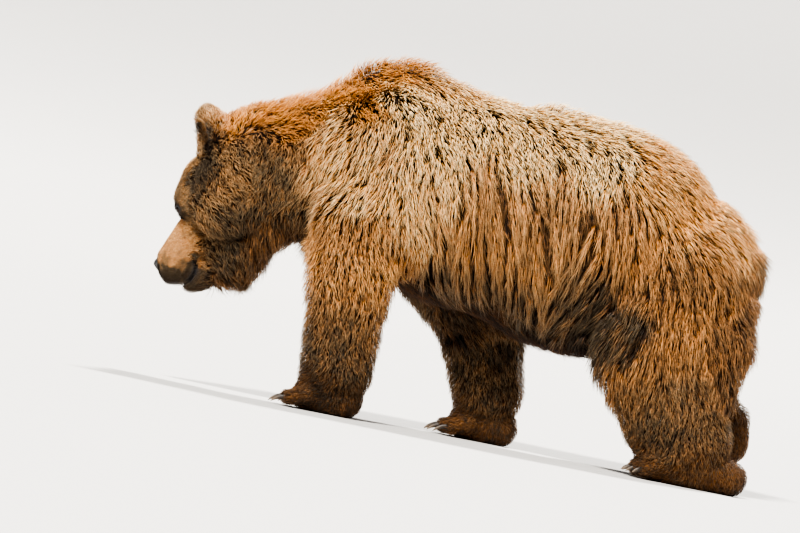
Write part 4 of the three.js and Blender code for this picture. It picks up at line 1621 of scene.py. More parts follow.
@dataclass(frozen=True)
class Face:
    """The small forms of the face, in the head's own frame: lids, lips, furrow and pads."""

    eye: Point = (237, 57, 66)
    ball: float = 13.0
    gaze: Point = (0.62, 0.76, 0.16)
    lid: float = 2.6
    mound: float = 6.0
    mound_reach: float = 20.0
    opening: Pair = (12.0, 7.6)
    mouth: tuple[Pair, ...] = (
        (396, -76),
        (378, -88),
        (360, -98),
        (342, -106),
        (322, -109),
        (302, -104),
        (286, -93),
        (275, -78),
        (274, -62),
    )
    front: Pair = (250, 280)  # where along the head the lips set in
    groove: float = 5.5
    groove_width: float = 3.4
    lip: float = 3.0
    lip_width: float = 10.0
    furrow: float = 5.0  # how deep the furrow between the eyes is
    furrow_width: float = 13.0
    furrow_start: Pair = (120, 160)
    furrow_end: Pair = (225, 262)
    furrow_rise: Pair = (70, 110)
    pad: Point = (352, 34, -50)
    pad_swell: Pair = (4.0, 20.0)
    pad_flat: float = 0.8
    nose: Point = (400, 0, -14)
    nose_dip: Pair = (9.0, 24.0)
    lid_fillet: float = 9.0
    slit_floor: float = 2.0
    slit_rim: float = 2.5
    bare_lip: Pair = (6.0, 4.0)  # the bare lip's width, and what the corner adds
    bare_front: Pair = (262, 280)
    bare_corner: Pair = (285, 345)
    bare_lid: Pair = (5.0, 4.5)
    bare_edge: Pair = (0.95, 1.25)
    bare_reach: float = 26.0
    upright: Point = (0.25, 0, 1)  # how the openings of the eyes stand

    def mouth_distance(self, local: Array) -> Array:
        """How far points lie from the line of the mouth, seen from the side.

        Args:
            local: places in the head's own frame.

        Returns:
            The distances.
        """
        flat = local[:, [0, 2]]
        best = np.full(len(flat), FAR_AWAY)
        line = np.array(self.mouth, float)
        for start, end in zip(line[:-1], line[1:]):
            axis = end - start
            t = np.clip((flat - start) @ axis / (axis @ axis), 0, 1)
            best = np.minimum(best, np.linalg.norm(flat - start - t[:, None] * axis, axis=1))
        return best

    def eye_frame(self) -> tuple[Array, Array]:
        """The left eye's middle, and its axes: across the opening, up it, and out of it.

        Returns:
            The middle, and the axes as the columns of a matrix.
        """
        gaze = unit(np.array(self.gaze))
        across = unit(np.cross(self.upright, gaze))
        return np.array(self.eye), np.column_stack([across, np.cross(gaze, across), gaze])

    def relief(self, local: Array) -> Array:
        """How far the skin stands above the plain form.

        Args:
            local: places in the head's own frame.

        Returns:
            The heights.
        """
        left = mirrored(local)
        mouth = self.mouth_distance(local)
        front = smooth_step(*self.front, local[:, 0])
        height = front * self.lip * swell(mouth, self.lip_width)
        height -= front * (self.groove + self.lip) * swell(mouth, self.groove_width)
        eye = np.linalg.norm(left - self.eye_frame()[0], axis=1)
        height += self.mound * swell(eye, self.mound_reach)
        furrow = swell(local[:, 1], self.furrow_width)
        furrow = furrow * smooth_step(*self.furrow_start, local[:, 0])
        furrow *= smooth_step(*self.furrow_rise, local[:, 2])
        height -= self.furrow * furrow * (1 - smooth_step(*self.furrow_end, local[:, 0]))
        pad = np.linalg.norm((left - self.pad) / (1, 1, self.pad_flat), axis=1)
        rise, reach = self.pad_swell
        height += rise * swell(pad, reach)
        dip, reach = self.nose_dip
        return height - dip * swell(np.linalg.norm(local - self.nose, axis=1), reach)

    def lids(self, field: Array, local: Array) -> Array:
        """The head's distances with lids raised round the eyes and their openings cut.

        Args:
            field: the distances.
            local: places in the head's own frame.

        Returns:
            The new distances.
        """
        centre, axes = self.eye_frame()
        q = (mirrored(local) - centre) @ axes
        shell = np.linalg.norm(q, axis=1) - (self.ball + self.lid)
        field = blend(field, shell, self.lid_fillet)
        wide, high = self.opening
        slit = (np.hypot(q[:, 0] / wide, q[:, 1] / high) - 1) * high
        tool = np.maximum(slit, self.slit_floor - q[:, 2])
        return -blend(-field, tool, self.slit_rim)

    def bare(self, local: Array) -> Array:
        """Where the skin of the head has no hair: the lips and the rims of the lids.

        Args:
            local: places in the head's own frame.

        Returns:
            Shares from nought to one.
        """
        narrow, more = self.bare_lip
        width = narrow + more * (1 - smooth_step(*self.bare_corner, local[:, 0]))
        lips = np.exp(-((self.mouth_distance(local) / width) ** 2) * 0.7)
        lips *= smooth_step(*self.bare_front, local[:, 0])
        centre, axes = self.eye_frame()
        q = (mirrored(local) - centre) @ axes
        wide, high = np.array(self.opening) + self.bare_lid
        rim = np.hypot(q[:, 0] / wide, q[:, 1] / high)
        lids = (1 - smooth_step(*self.bare_edge, rim)) * (q[:, 2] > 0)
        lids *= np.linalg.norm(q, axis=1) < self.bare_reach
        return np.clip(np.maximum(lips, lids), 0, 1)


@dataclass
class Skin:
    """One closed skin for the whole bear, inside its coat. Its boxes lie in the head's frame."""

    lay: Lay
    face: Face
    cell: float = 9.0
    low: Point = (-1090, -330, -24)
    high: Point = (760, 330, 1040)
    floor: float = 0.4
    feet: float = 95.0  # how high up the feet the finer net goes
    before_body: float = -700.0
    before_neck: float = -800.0
    face_box: tuple[Point, Point] = ((60, -170, -230), (430, 170, 230))
    head_box: tuple[Point, Point] = ((-40, -210, -230), (FAR_AWAY, 210, 270))
    muzzle_box: tuple[Point, Point] = ((205, -110, -150), (FAR_AWAY, 110, 150))
    mouth_box: tuple[Point, Point] = ((262, -FAR_AWAY, -FAR_AWAY), (400, FAR_AWAY, FAR_AWAY))
    bare_box: tuple[Point, Point] = ((150, -FAR_AWAY, -FAR_AWAY), (430, FAR_AWAY, FAR_AWAY))
    eye_reach: float = 27.0
    lip_reach: float = 7.0
    sole: Pair = (2.0, 7.0)  # the heights between which the bare sole ends

    def __post_init__(self) -> None:
        """Makes the form of the body."""
        self.body = Body().form()

    def plain(self, points: Array) -> Array:
        """The skin's distances without the small forms of the face."""
        return self._floored(self.body.distance(points) + self.lay.depth(points), points)

    def full(self, points: Array, depth: Array) -> Array:
        """The skin's distances with the small forms of the face.

        Args:
            points: places in millimetres.
            depth: how deep the skin lies at each.

        Returns:
            The distances.
        """
        field = self.body.distance(points) + depth
        local = HEAD.local(points)
        near = np.flatnonzero(within(local, self.face_box))
        part = field[near] - self.face.relief(local[near])
        field[near] = self.face.lids(part, local[near])
        return self._floored(field, points)

    def _floored(self, field: Array, points: Array) -> Array:
        """Distances cut off flat just above the floor."""
        return np.maximum(field, self.floor - points[:, 2])

    @staticmethod
    def _finer(mesh: bmesh.types.BMesh, chosen: Array) -> None:
        """Splits the edges of the chosen faces in two.

        Args:
            mesh: the mesh.
            chosen: which ones, as yes or no.
        """
        mesh.faces.ensure_lookup_table()
        edges = {edge for index in np.flatnonzero(chosen) for edge in mesh.faces[index].edges}
        bmesh.ops.subdivide_edges(mesh, edges=list(edges), cuts=1, use_grid_fill=True)

    def _settled(self, mesh: bmesh.types.BMesh, chosen: Array, cell: float) -> None:
        """Pulls the chosen vertices onto the full field and evens them out.

        Args:
            mesh: the mesh.
            chosen: which ones, as yes or no.
            cell: how wide the meshes are there.
        """
        verts = [vert for vert, keep in zip(mesh.verts, chosen) if keep]
        axes = {"use_axis_x": True, "use_axis_y": True, "use_axis_z": True}
        for relax in (True, True, False):
            points = np.array([vert.co for vert in verts])
            depth = self.lay.depth(points)
            points = settle(lambda spots: self.full(spots, depth), points, cell * 0.15, cell * 0.6)
            for vert, point in zip(verts, points):
                vert.co = point
            if relax:
                bmesh.ops.smooth_vert(mesh, verts=verts, factor=0.4, **axes)

    def _net(self) -> bmesh.types.BMesh:
        """A wide net over the whole bear.

        Returns:
            The mesh, in millimetres.
        """
        net = Net(self.plain, np.array(self.low, float), np.array(self.high, float), self.cell)
        log.info("skin net: %d points, %d quads", len(net.points), len(net.quads))
        mesh = bmesh.new()
        verts = [mesh.verts.new(point) for point in settle(self.plain, net.points, 1.0, 4.0)]
        for quad in net.quads:
            if len(set(quad)) == 4:
                try:
                    mesh.faces.new([verts[index] for index in quad])
                except ValueError:
                    continue
        return mesh

    def make(self) -> Thing:
        """Builds the skin: a wide net, made finer on the head, the feet and the face.

        Returns:
            The skin.
        """
        mesh, cell = self._net(), self.cell
        for choose in (self._head_and_feet, self._muzzle_and_eyes, self._eyes_and_lips):
            self._finer(mesh, choose(np.array([face.calc_center_median() for face in mesh.faces])))
            cell /= 2
            self._settled(mesh, choose(np.array([vert.co for vert in mesh.verts])), cell)
        bmesh.ops.recalc_face_normals(mesh, faces=mesh.faces)
        loose = [vert for vert in mesh.verts if not vert.link_faces]
        bmesh.ops.delete(mesh, geom=loose, context="VERTS")
        data = bpy.data.meshes.new("skin")
        mesh.to_mesh(data)
        mesh.free()
        points = to_metres(vectors_of(data, "co"))
        data.vertices.foreach_set("co", points.astype(np.float32).ravel())
        data.update()
        return placed(data)

    def _head_and_feet(self, points: Array) -> Array:
        """Where the first finer net goes."""
        head = within(HEAD.local(points), self.head_box) & (points[:, 0] < self.before_body)
        return head | (points[:, 2] < self.feet)

    def _muzzle_and_eyes(self, points: Array) -> Array:
        """Where the second finer net goes."""
        return within(HEAD.local(points), self.muzzle_box)

    def _eyes_and_lips(self, points: Array) -> Array:
        """Where the finest net goes.

        Args:
            points: places in millimetres.

        Returns:
            Yes or no for each.
        """
        local = HEAD.local(points)
        eye = np.linalg.norm(mirrored(local) - self.face.eye, axis=1) < self.eye_reach
        lips = self.face.mouth_distance(local) < self.lip_reach
        return eye | (lips & within(local, self.mouth_box))

    def bare(self, points: Array) -> Array:
        """Where the skin has no hair at all.

        Args:
            points: places in millimetres.

        Returns:
            Shares from nought to one.
        """
        local = HEAD.local(points)
        head = within(local, self.bare_box) & (points[:, 0] < self.before_neck)
        return np.maximum(self.face.bare(local) * head, 1 - smooth_step(*self.sole, points[:, 2]))


# --- the coat


@dataclass(frozen=True)
class Roots:
    """Where hairs grow: places, normals and the fur there."""

    places: Array
    normals: Array
    fur: dict[str, Array]

    def __len__(self) -> int:
        """How many there are."""
        return len(self.places)


class Ground:
    """The skin as ground for hairs to grow on."""

    def __init__(self, skin: Thing, body: Form, lay: Lay, bare: Array) -> None:
        """Measures the skin and the fur at each of its vertices.

        Args:
            skin: the skin's object.
            body: the form of the bear, out to the tips of its coat.
            lay: the coat's lay.
            bare: where no hair grows, at each vertex.
        """
        self.points = vectors_of(skin.data, "co") / MM - SHIFT
        self.normals = vectors_of(skin.data, "normal")
        self.triangles = triangles_of(skin.data)
        self.fur = lay.fur(self.points)
        _, slopes = slope_of(body.distance, self.points, 2.0)
        steep = np.linalg.norm(slopes, axis=1)
        self.fur["reach"] = self.fur["depth"] / np.clip(steep, 0.6, 1)
        self.bare = bare
        first, second, third = (self.points[self.triangles[:, corner]] for corner in range(3))
        self.areas = np.linalg.norm(np.cross(second - first, third - first), axis=1) / 2

    def sow(self, count: int, crowd: Array, draw: np.random.Generator) -> Roots:
        """Roots strewn evenly over the skin by how closely they stand.

        Args:
            count: how many are sown.
            crowd: how closely they stand, at each vertex.
            draw: where chance comes from.

        Returns:
            The roots.
        """
        weights = self.areas * (crowd * (1 - self.bare))[self.triangles].mean(axis=1)
        steps = np.cumsum(weights)
        picks = (np.arange(count) + draw.uniform(size=count)) / count * steps[-1]
        chosen = np.minimum(np.searchsorted(steps, picks), len(steps) - 1)
        u, v = draw.uniform(size=(2, count))
        fold = u + v > 1
        u, v = np.where(fold, 1 - u, u), np.where(fold, 1 - v, v)
        shares = np.column_stack([1 - u - v, u, v])
        corners = self.triangles[chosen]

        def spread(values: Array) -> Array:
            """Values at the vertices, brought to the roots."""
            picked = values[corners]
            return np.einsum("ij,ij...->i...", shares, picked)

        fur = {name: spread(values) for name, values in self.fur.items()}
        return Roots(spread(self.points), unit(spread(self.normals)), fur)


MARKS = ("tone", "warmth", "frost")


class Section(Enum):
    """The pieces that the coat is made in: slot, how wet it looks, and the kinds of fur in it."""

    FACE = ("face_fur", 0.15, "LID FACE TEMPLE EAR CUP")
    CHEEKS = ("face_fur", 0.2, "CHEEK JOWL BEARD")
    MUZZLE = ("muzzle_fur", 0.15, "MUZZLE BRIDGE SNOUT WHISKER LIP CHIN")
    CREST = ("crest_fur", 0.3, "RUFF NECK CREST")
    SHOULDERS = ("back_fur", 0.55, "SHOULDER")
    BACK = ("back_fur", 0.6, "BACK")
    FLANKS = ("back_fur", 0.7, "FLANK FRINGE")
    BELLY = ("back_fur", 0.4, "GROIN BELLY")
    RUMP = ("back_fur", 0.5, "RUMP TAIL")
    THIGHS = ("leg_fur", 0.45, "THIGH HAM")
    ARMS = ("leg_fur", 0.4, "ARM")
    LEGS = ("leg_fur", 0.35, "SHIN LEG SHADE")
    PAWS = ("leg_fur", 0.3, "CUFF PAW")

    @classmethod
    def number_of(cls, kind: Kind) -> int:
        """The number of the section that a kind of fur belongs to."""
        return [kind.name in section.value[2].split() for section in cls].index(True)


@dataclass(frozen=True)
class Unwrap:
    """An unwrap of the skin's own shape: the trunk, the head and each leg have their own strip."""

    strips: int = 6
    spine: float = 620.0  # how high the line runs that the trunk is unrolled about
    breast: float = -800.0
    trunk: float = 1450.0
    leg_top: float = 430.0
    leg_reach: float = 260.0
    neck: float = -730.0
    head: float = 410.0
    across: Pair = (0.04, 0.92)  # where in its strip a part begins, and how wide it is
    along: Pair = (0.02, 0.96)

    def places(self, points: Array) -> Array:
        """Where points of the skin lie on the map.

        Args:
            points: places on the skin, in the bear's own millimetres.

        Returns:
            Two values for each point, from nought to one.
        """
        local = HEAD.local(points)
        strip = np.zeros(len(points), int)
        turn = np.arctan2(points[:, 1], points[:, 2] - self.spine)
        reach = (points[:, 0] - self.breast) / self.trunk
        for number, leg in enumerate(LEGS):
            knee, ankle = np.array(leg.joints[1]), np.array(leg.joints[2])
            near = np.abs(points[:, 0] - (knee[0] + ankle[0]) / 2) < self.leg_reach
            near &= (points[:, 2] < self.leg_top) & (np.sign(points[:, 1]) == leg.side.value)
            strip[near] = number + 1
            share = np.clip(points[near, 2] / self.leg_top, 0, 1)
            offset = points[near] - (ankle + (knee - ankle) * share[:, None])
            turn[near] = np.arctan2(offset[:, 1], offset[:, 0])
            reach[near] = share
        head = (local[:, 0] > 0) & (points[:, 0] < self.neck)
        strip[head] = self.strips - 1
        turn[head] = np.arctan2(local[head, 1], local[head, 2])
        reach[head] = local[head, 0] / self.head
        start, width = self.across
        u = (strip + start + width * (turn / (2 * math.pi) + 0.5)) / self.strips
        start, width = self.along
        return np.column_stack([u, start + width * np.clip(reach, 0, 1)])


@dataclass
class Coat:
    """The fur: thin tapered wisps that stick together in locks along the lie of the hair."""

    ground: Ground
    wisps: int = 225000
    seed: int = 20
    belly: float = 0.42  # how far along a wisp its thickest place is
    arch: float = 0.76  # how much of its height a wisp has reached there
    sunk: float = 2.0
    flat: float = 0.42
    patch: float = 0.0015
    near_locks: int = 20
    guides: float = 1.15
    under: float = 0.3  # the share of the undercoat
    under_gather: float = 0.3
    under_length: float = 0.8
    under_height: Pair = (0.5, 0.85)
    # how much painted shade the undercoat takes
    under_deep: float = 0.35
    swirl: float = 9.0
    swirl_width: float = 170.0
    curl: float = 0.8
    curl_width: float = 46.0
    calm: float = 0.6  # how much less the hairs of a tight lock stray
    lengths: Pair = (0.72, 1.12)
    heights: Pair = (0.6, 1.04)
    widths: Pair = (0.6, 1.35)
    edge_most: float = 1.4
    edge_short: float = 0.25
    edge_low: float = 0.5
    # where across a lock its edge hairs begin to take painted shade
    edge_deep: Pair = (0.4, 1.05)
    uneven: float = 0.3  # how far the heights of locks lie apart
    drawn_most: float = 0.65
    drawn: Pair = (0.5, 0.84)  # how far belly and tip are drawn to the lock's line
    ruffle: float = 0.035
    clear: float = 0.6  # how far the lowest hairs stay above the sole

    # Corners of a wisp: its foot, the three of its belly, and its tip.
    FACES = np.array([(0, 2, 1), (0, 3, 2), (0, 1, 3), (4, 1, 2), (4, 2, 3), (4, 3, 1)])

    def __post_init__(self) -> None:
        """Makes ready the draw of lots."""
        self.draw = np.random.default_rng(self.seed)

    def _lies(self, roots: Roots) -> Array:
        """The lie of the hair along the skin, with slow swirls in it.

        Args:
            roots: where the hairs grow.

        Returns:
            A direction for each.
        """
        normals = roots.normals
        lies = roots.fur["lie"]
        lies = unit(lies - normals * np.einsum("ij,ij->i", lies, normals)[:, None])
        ripple = Ripple(self.curl_width, 6)
        curl = np.radians(roots.fur["stray"]) * self.curl * ripple(roots.places)
        swirl = np.radians(self.swirl) * Ripple(self.swirl_width, 5)(roots.places)
        return turn_about(normals, lies, swirl + curl)

    def _locks(self, roots: Roots, lies: Array) -> tuple[Array, Array, Array, Array]:
        """The lock that each hair belongs to.

        Args:
            roots: where the hairs grow.
            lies: which way they lie; not used.

        Returns:
            For each hair, how far it stands to the side of its lock's line, that side's direction,
            the lock's lie and the lock's own lot.
        """
        fur = self.ground.fur
        crowd = 1 / (fur["lock"] ** 2 * fur["draw"])
        area = float((self.ground.areas * crowd[self.ground.triangles].mean(axis=1)).sum())
        guides = self.ground.sow(int(area * self.guides), crowd, self.draw)
        guide_lies = self._lies(guides)
        sides = np.cross(guide_lies, guides.normals)
        tree = KDTree(len(guides))
        for index, place in enumerate(guides.places):
            tree.insert(place, index)
        tree.balance()
        near = self.near_locks
        found = np.array([[hit[1] for hit in tree.find_n(place, near)] for place in roots.places])
        offsets = roots.places[:, None, :] - guides.places[found]
        across = np.einsum("ijk,ijk->ij", offsets, sides[found])
        along = np.einsum("ijk,ijk->ij", offsets, guide_lies[found])
        lock = guides.fur["lock"][found]
        cost = (across / lock) ** 2 + (along / (lock * guides.fur["draw"][found])) ** 2
        best = cost.argmin(axis=1)
        rows = np.arange(len(roots))
        chosen = found[rows, best]
        lots = self.draw.uniform(size=len(guides))
        return across[rows, best], sides[chosen], guide_lies[chosen], lots[chosen]

    def _wisps(self, roots: Roots) -> tuple[Array, Array, Array]:
        """The shapes of the wisps.

        Args:
            roots: where they grow.

        Returns:
            Each wisp's five corners, its own lot, and its painted shade, which hairs at the edge of
            a lock and undercoat hairs take.
        """
        draw, lies = self.draw, self._lies(roots)
        across, sides, lock_lies, lots = self._locks(roots, lies)
        fur, normals, count = roots.fur, roots.normals, len(roots)
        under = draw.uniform(size=count) < self.under
        gather = fur["gather"] * np.where(under, self.under_gather, 1.0)
        lies = unit(mix(lies, lock_lies, gather[:, None]))
        lies = unit(lies - normals * np.einsum("ij,ij->i", lies, normals)[:, None])
        stray = np.radians(fur["stray"]) * draw.normal(size=count)
        lies = turn_about(normals, lies, stray * (1 - self.calm * gather))
        edge = np.clip(np.abs(across) / (0.5 * fur["lock"]), 0, self.edge_most)
        length = fur["length"] * draw.uniform(*self.lengths, size=count)
        length = length * (1 - self.edge_short * gather * edge)
        height = fur["reach"] * fur["stand"] * draw.uniform(*self.heights, size=count)
        length *= np.where(under, self.under_length, 1.0)
        height *= np.where(under, draw.uniform(*self.under_height, size=count), 1.0)
        low = 1 - fur["ridge"] * self.edge_low * edge**2
        height *= low * (1 + self.uneven * (lots - 0.5) * gather)
        width = fur["width"] * draw.uniform(*self.widths, size=count)
        most = self.drawn_most * fur["lock"]
        drawn = (np.clip(across, -most, most) * gather)[:, None] * sides
        at_belly, at_tip = self.drawn
        foot = roots.places - normals * self.sunk
        middle = roots.places + lies * (length * self.belly)[:, None]
        middle = middle + normals * (height * self.arch)[:, None] - drawn * at_belly
        tip = roots.places + lies * length[:, None] + normals * height[:, None] - drawn * at_tip
        tip = tip + draw.normal(size=(count, 3)) * (length * self.ruffle)[:, None]
        half = np.cross(lies, normals) * (width / 2)[:, None]
        back = middle + normals * (width * self.flat)[:, None]
        points = np.stack([foot, middle + half, middle - half, back, tip], axis=1)
        points[:, :, 2] = np.maximum(points[:, :, 2], Skin.floor + self.clear)
        lot = draw.uniform(size=count) * 0.5 + lots * 0.5
        # Painted shade: hairs at a lock's edge, which lie low in the parting, and undercoat hairs
        # are darkened.
        painted_shade = smooth_step(*self.edge_deep, edge) * fur["gather"]
        return points, lot, np.maximum(painted_shade, under * self.under_deep)

    def grow(self) -> list[Thing]:
        """Grows the whole coat.

        Returns:
            The pieces of the coat.
        """
        roots = self.ground.sow(self.wisps, self.ground.fur["crowd"], self.draw)
        points, lot, painted_shade = self._wisps(roots)
        marks = np.column_stack([roots.fur[name] for name in MARKS])
        values = (points, marks, lot, painted_shade, roots.places)
        pieces = []
        for part, side, chosen in self._split(roots):
            pieces.append(self._piece(part, side, *(value[chosen] for value in values)))
        return pieces

    @staticmethod
    def _split(roots: Roots) -> list[tuple[Section, Side, Array]]:
        """The hairs of each piece: each section is made in two halves, left and right.

        Args:
            roots: where the hairs grow.

        Returns:
            By piece: its section, its side and the numbers of its hairs.
        """
        numbers = np.array([Section.number_of(kind) for kind in Kind])
        section = numbers[roots.fur["members"].argmax(axis=1)]
        body = roots.places[:, 0] > Skin.before_body
        left = np.where(body, roots.places[:, 1] < 0, HEAD.local(roots.places)[:, 1] > 0)
        pieces = []
        for number, part in enumerate(Section):
            for side in Side:
                chosen = np.flatnonzero((section == number) & (left == (side is Side.LEFT)))
                if len(chosen):
                    pieces.append((part, side, chosen))
        return pieces

    def _piece(
        self,
        part: Section,
        side: Side,
        points: Array,
        marks: Array,
        lot: Array,
        painted_shade: Array,
        places: Array,
    ) -> Thing:
        """One piece of the coat as a mesh, with its values and its map.

        Args:
            part: the section.
            side: which side of the bear.
            points: the corners of its wisps.
            marks: tone, warmth and frost.
            lot: each wisp's own lot.
            painted_shade: its painted shade for lying low in its lock.
            places: where it grows.

        Returns:
            The piece.
        """
        slot, gloss, _ = part.value
        name = f"coat_{part.name.lower()}_{side.name.lower()}"
        count = len(points)
        faces = (np.arange(count)[:, None, None] * 5 + self.FACES[None]).reshape(-1, 3)
        thing = mesh_of(name, to_metres(points.reshape(-1, 3)), faces)
        along = np.tile([0, *[self.belly] * 3, 1], count)
        # The strand's third value is each wisp's painted shade.
        strand = np.column_stack([along, np.repeat(lot, 5), np.repeat(painted_shade, 5)])
        give_vectors(thing.data, "strand", strand)
        give_vectors(thing.data, "marks", np.repeat(marks, 5, axis=0))
        patch = self.patch
        corners = np.array([(0, -patch), (-patch, 0), (patch, 0), (0, 0), (0, patch)])
        spots = (Unwrap().places(places)[:, None, :] + corners[None]).reshape(-1, 2)
        layer = thing.data.uv_layers.new(name="OFBake")
        layer.data.foreach_set("uv", spots[faces.ravel()].astype(np.float32).ravel())
        thing.data.materials.append(CoatFinish().hair(f"{name}_hair", gloss))
        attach(thing, "root")
        log.info("%s: %d wisps, %d triangles", name, count, len(faces))
        return thing


# --- eyes, nose and claws


def tube(rings: int, sides: int, start: int, ends: tuple[int, int]) -> list[tuple[int, ...]]:
    """The triangles of a closed tube, wound so that they face outwards.

    Args:
        rings: how many rings of points it has.
        sides: how many points a ring has.
        start: the number of the first ring's first point.
        ends: the numbers of the points that close it before the first ring and after the last.

    Returns:
        The triangles, as numbers of points.
    """
    faces = []
    last = start + (rings - 1) * sides
    for side in range(sides):
        following = (side + 1) % sides
        faces.append((ends[0], start + following, start + side))
        for here in range(start, last, sides):
            there = here + sides
            faces.append((here + side, here + following, there + following))
            faces.append((here + side, there + following, there + side))
        faces.append((last + side, last + following, ends[1]))
    return faces


@dataclass(frozen=True)
class Eyes:
    """The two eyeballs, each with its iris and pupil facing the way that it looks."""

    face: Face
    rings: int = 40
    sectors: int = 48
    bulge: float = 0.09
    bulge_reach: float = 0.55
    iris_reach: float = 0.9

    def make(self, side: Side) -> Thing:
        """One eye, with a cornea that stands a little proud.

        Args:
            side: which side of the bear.

        Returns:
            The eye.
        """
        name, sectors = f"eye_{side.name.lower()}", self.sectors
        centre, axes = self.face.eye_frame()
        angles = np.linspace(0, math.pi, self.rings + 1)
        turns = np.linspace(0, 2 * math.pi, sectors, endpoint=False)
        tilt, turn = (values.ravel() for values in np.meshgrid(angles[1:-1], turns, indexing="ij"))
        tilt, turn = np.array([0, *tilt, math.pi]), np.array([0, *turn, 0])
        radius = self.face.ball * (1 + self.bulge * swell(tilt, self.bulge_reach))
        level = np.sin(tilt)
        ball = np.column_stack([level * np.cos(turn), level * np.sin(turn), np.cos(tilt)])
        local = (centre + (ball * radius[:, None]) @ axes.T) * (1, -side.value, 1)
        faces = np.array(tube(self.rings - 1, sectors, 1, (0, len(tilt) - 1)))
        faces = faces[:, ::-1] if side is Side.LEFT else faces
        thing = mesh_of(name, to_metres(HEAD.nape + local @ HEAD.axes.T), faces)
        values = np.column_stack([np.cos(turn), np.sin(turn), tilt / self.iris_reach])
        give_vectors(thing.data, "eye", values)
        thing.data.materials.append(EyeFinish().make(name))
        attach(thing, "root")
        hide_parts(f"{side.name.lower()}_eye")
        return thing


@dataclass(frozen=True)
class Nose:
    """The nose pad, with its nostrils and the cleft below them, in the head's own frame."""

    pad: Ball = ((374, 0, -17), (30, 30, 20))
    top: Ball = ((386, 0, -7), (16, 25, 11))
    fillet: float = 10.0
    nostril: Ball = ((402, 12, -16), (12, 7.5, 7))
    nostril_rim: float = 3.0
    slit: Bar = ((400, 16, -15), 4.2, (386, 29, -11), 2.2)
    slit_rim: float = 2.5
    cleft: Bar = ((407, 0, -16), 1.8, (397, 0, -42), 2.4)
    cleft_rim: float = 3.0
    middle: Point = (374, 0, -12)
    room: float = 46.0
    cell: float = 1.3

    def form(self) -> Form:
        """The pad with its nostrils cut out.

        Returns:
            The form.
        """
        pad: Form = Grown([HEAD.egg(*self.pad), HEAD.egg(*self.top)], self.fillet)
        for side in Side:
            pad = Hollowed(pad, HEAD.egg(*self.nostril, side), self.nostril_rim)
            pad = Hollowed(pad, HEAD.limb(*self.slit, side), self.slit_rim)
        return Hollowed(pad, HEAD.limb(*self.cleft), self.cleft_rim)

    def make(self) -> Thing:
        """Builds the nose.

        Returns:
            The nose.
        """
        form = self.form()
        centre = HEAD.place(*self.middle)
        net = Net(form.distance, centre - self.room, centre + self.room, self.cell)
        points = settle(form.distance, net.points, 0.3, 0.8)
        thing = mesh_of("nose_pad", to_metres(points), net.quads)
        thing.data.materials.append(NoseFinish().make("nose_leather"))
        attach(thing, "root")
        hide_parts("nose")
        return thing


@dataclass(frozen=True)
class Claws:
    """The claws of one foot, each curved down to a worn tip."""

    leg: Leg
    root: float = 8.4
    taper: float = 0.72
    slim: float = 0.7
    droop: float = 50.0  # how far a claw bends down over its length, in degrees
    worn: float = 0.985  # how much of its length is left
    ahead: float = 14.0
    below: float = 2.0
    rings: int = 12
    sides: int = 14

    def _claw(self, toe: Toe) -> tuple[Array, Array]:
        """One claw: its points, and the values that its horn is coloured by.

        Args:
            toe: the toe that it grows on.

        Returns:
            The points and the values.
        """
        length = self.leg.foot.claw
        radius = length / math.radians(self.droop)
        shares = np.linspace(0, self.worn, self.rings)
        turns = np.linspace(0, 2 * math.pi, self.sides, endpoint=False)
        share, turn = (values.ravel() for values in np.meshgrid(shares, turns, indexing="ij"))
        thick = self.root * (1 - share) ** self.taper
        bend = share * length / radius
        reach = radius + thick * np.sin(turn)
        aside = thick * np.cos(turn) * self.slim
        points = np.column_stack([reach * np.sin(bend), aside, reach * np.cos(bend) - radius])
        ahead = unit((toe.tip - toe.knuckle) * (1, 1, 0))
        origin = toe.tip + ahead * self.ahead - (0, 0, self.below)
        points = origin + points @ np.stack([ahead, (-ahead[1], ahead[0], 0), (0, 0, 1)])
        lot = toe.number / 5
        values = np.column_stack([share, np.sin(turn), np.full(len(share), lot)])
        ends = np.array([origin, points[-self.sides :].mean(axis=0)])
        return np.vstack([points, ends]), np.vstack([values, [(0, 0, 0), (1, 0, lot)]])

    def make(self) -> Thing:
        """Builds the five claws of the foot.

        Returns:
            The claws.
        """
        toes, name = self.leg.toes(), self.leg.name
        points, values = zip(*(self._claw(toe) for toe in toes))
        count = len(points[0])
        claw = np.array(tube(self.rings, self.sides, 0, (count - 2, count - 1)))
        faces = np.vstack([claw + index * count for index in range(len(toes))])
        thing = mesh_of(f"{name}_claws", to_metres(np.vstack(points)), faces)
        give_vectors(thing.data, "horn", np.vstack(values))
        thing.data.materials.append(ClawFinish().make(f"{name}_horn"))
        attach(thing, "root")
        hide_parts(*[f"{name}_claw_{toe.number}" for toe in toes])
        return thing


# --- the whole bear


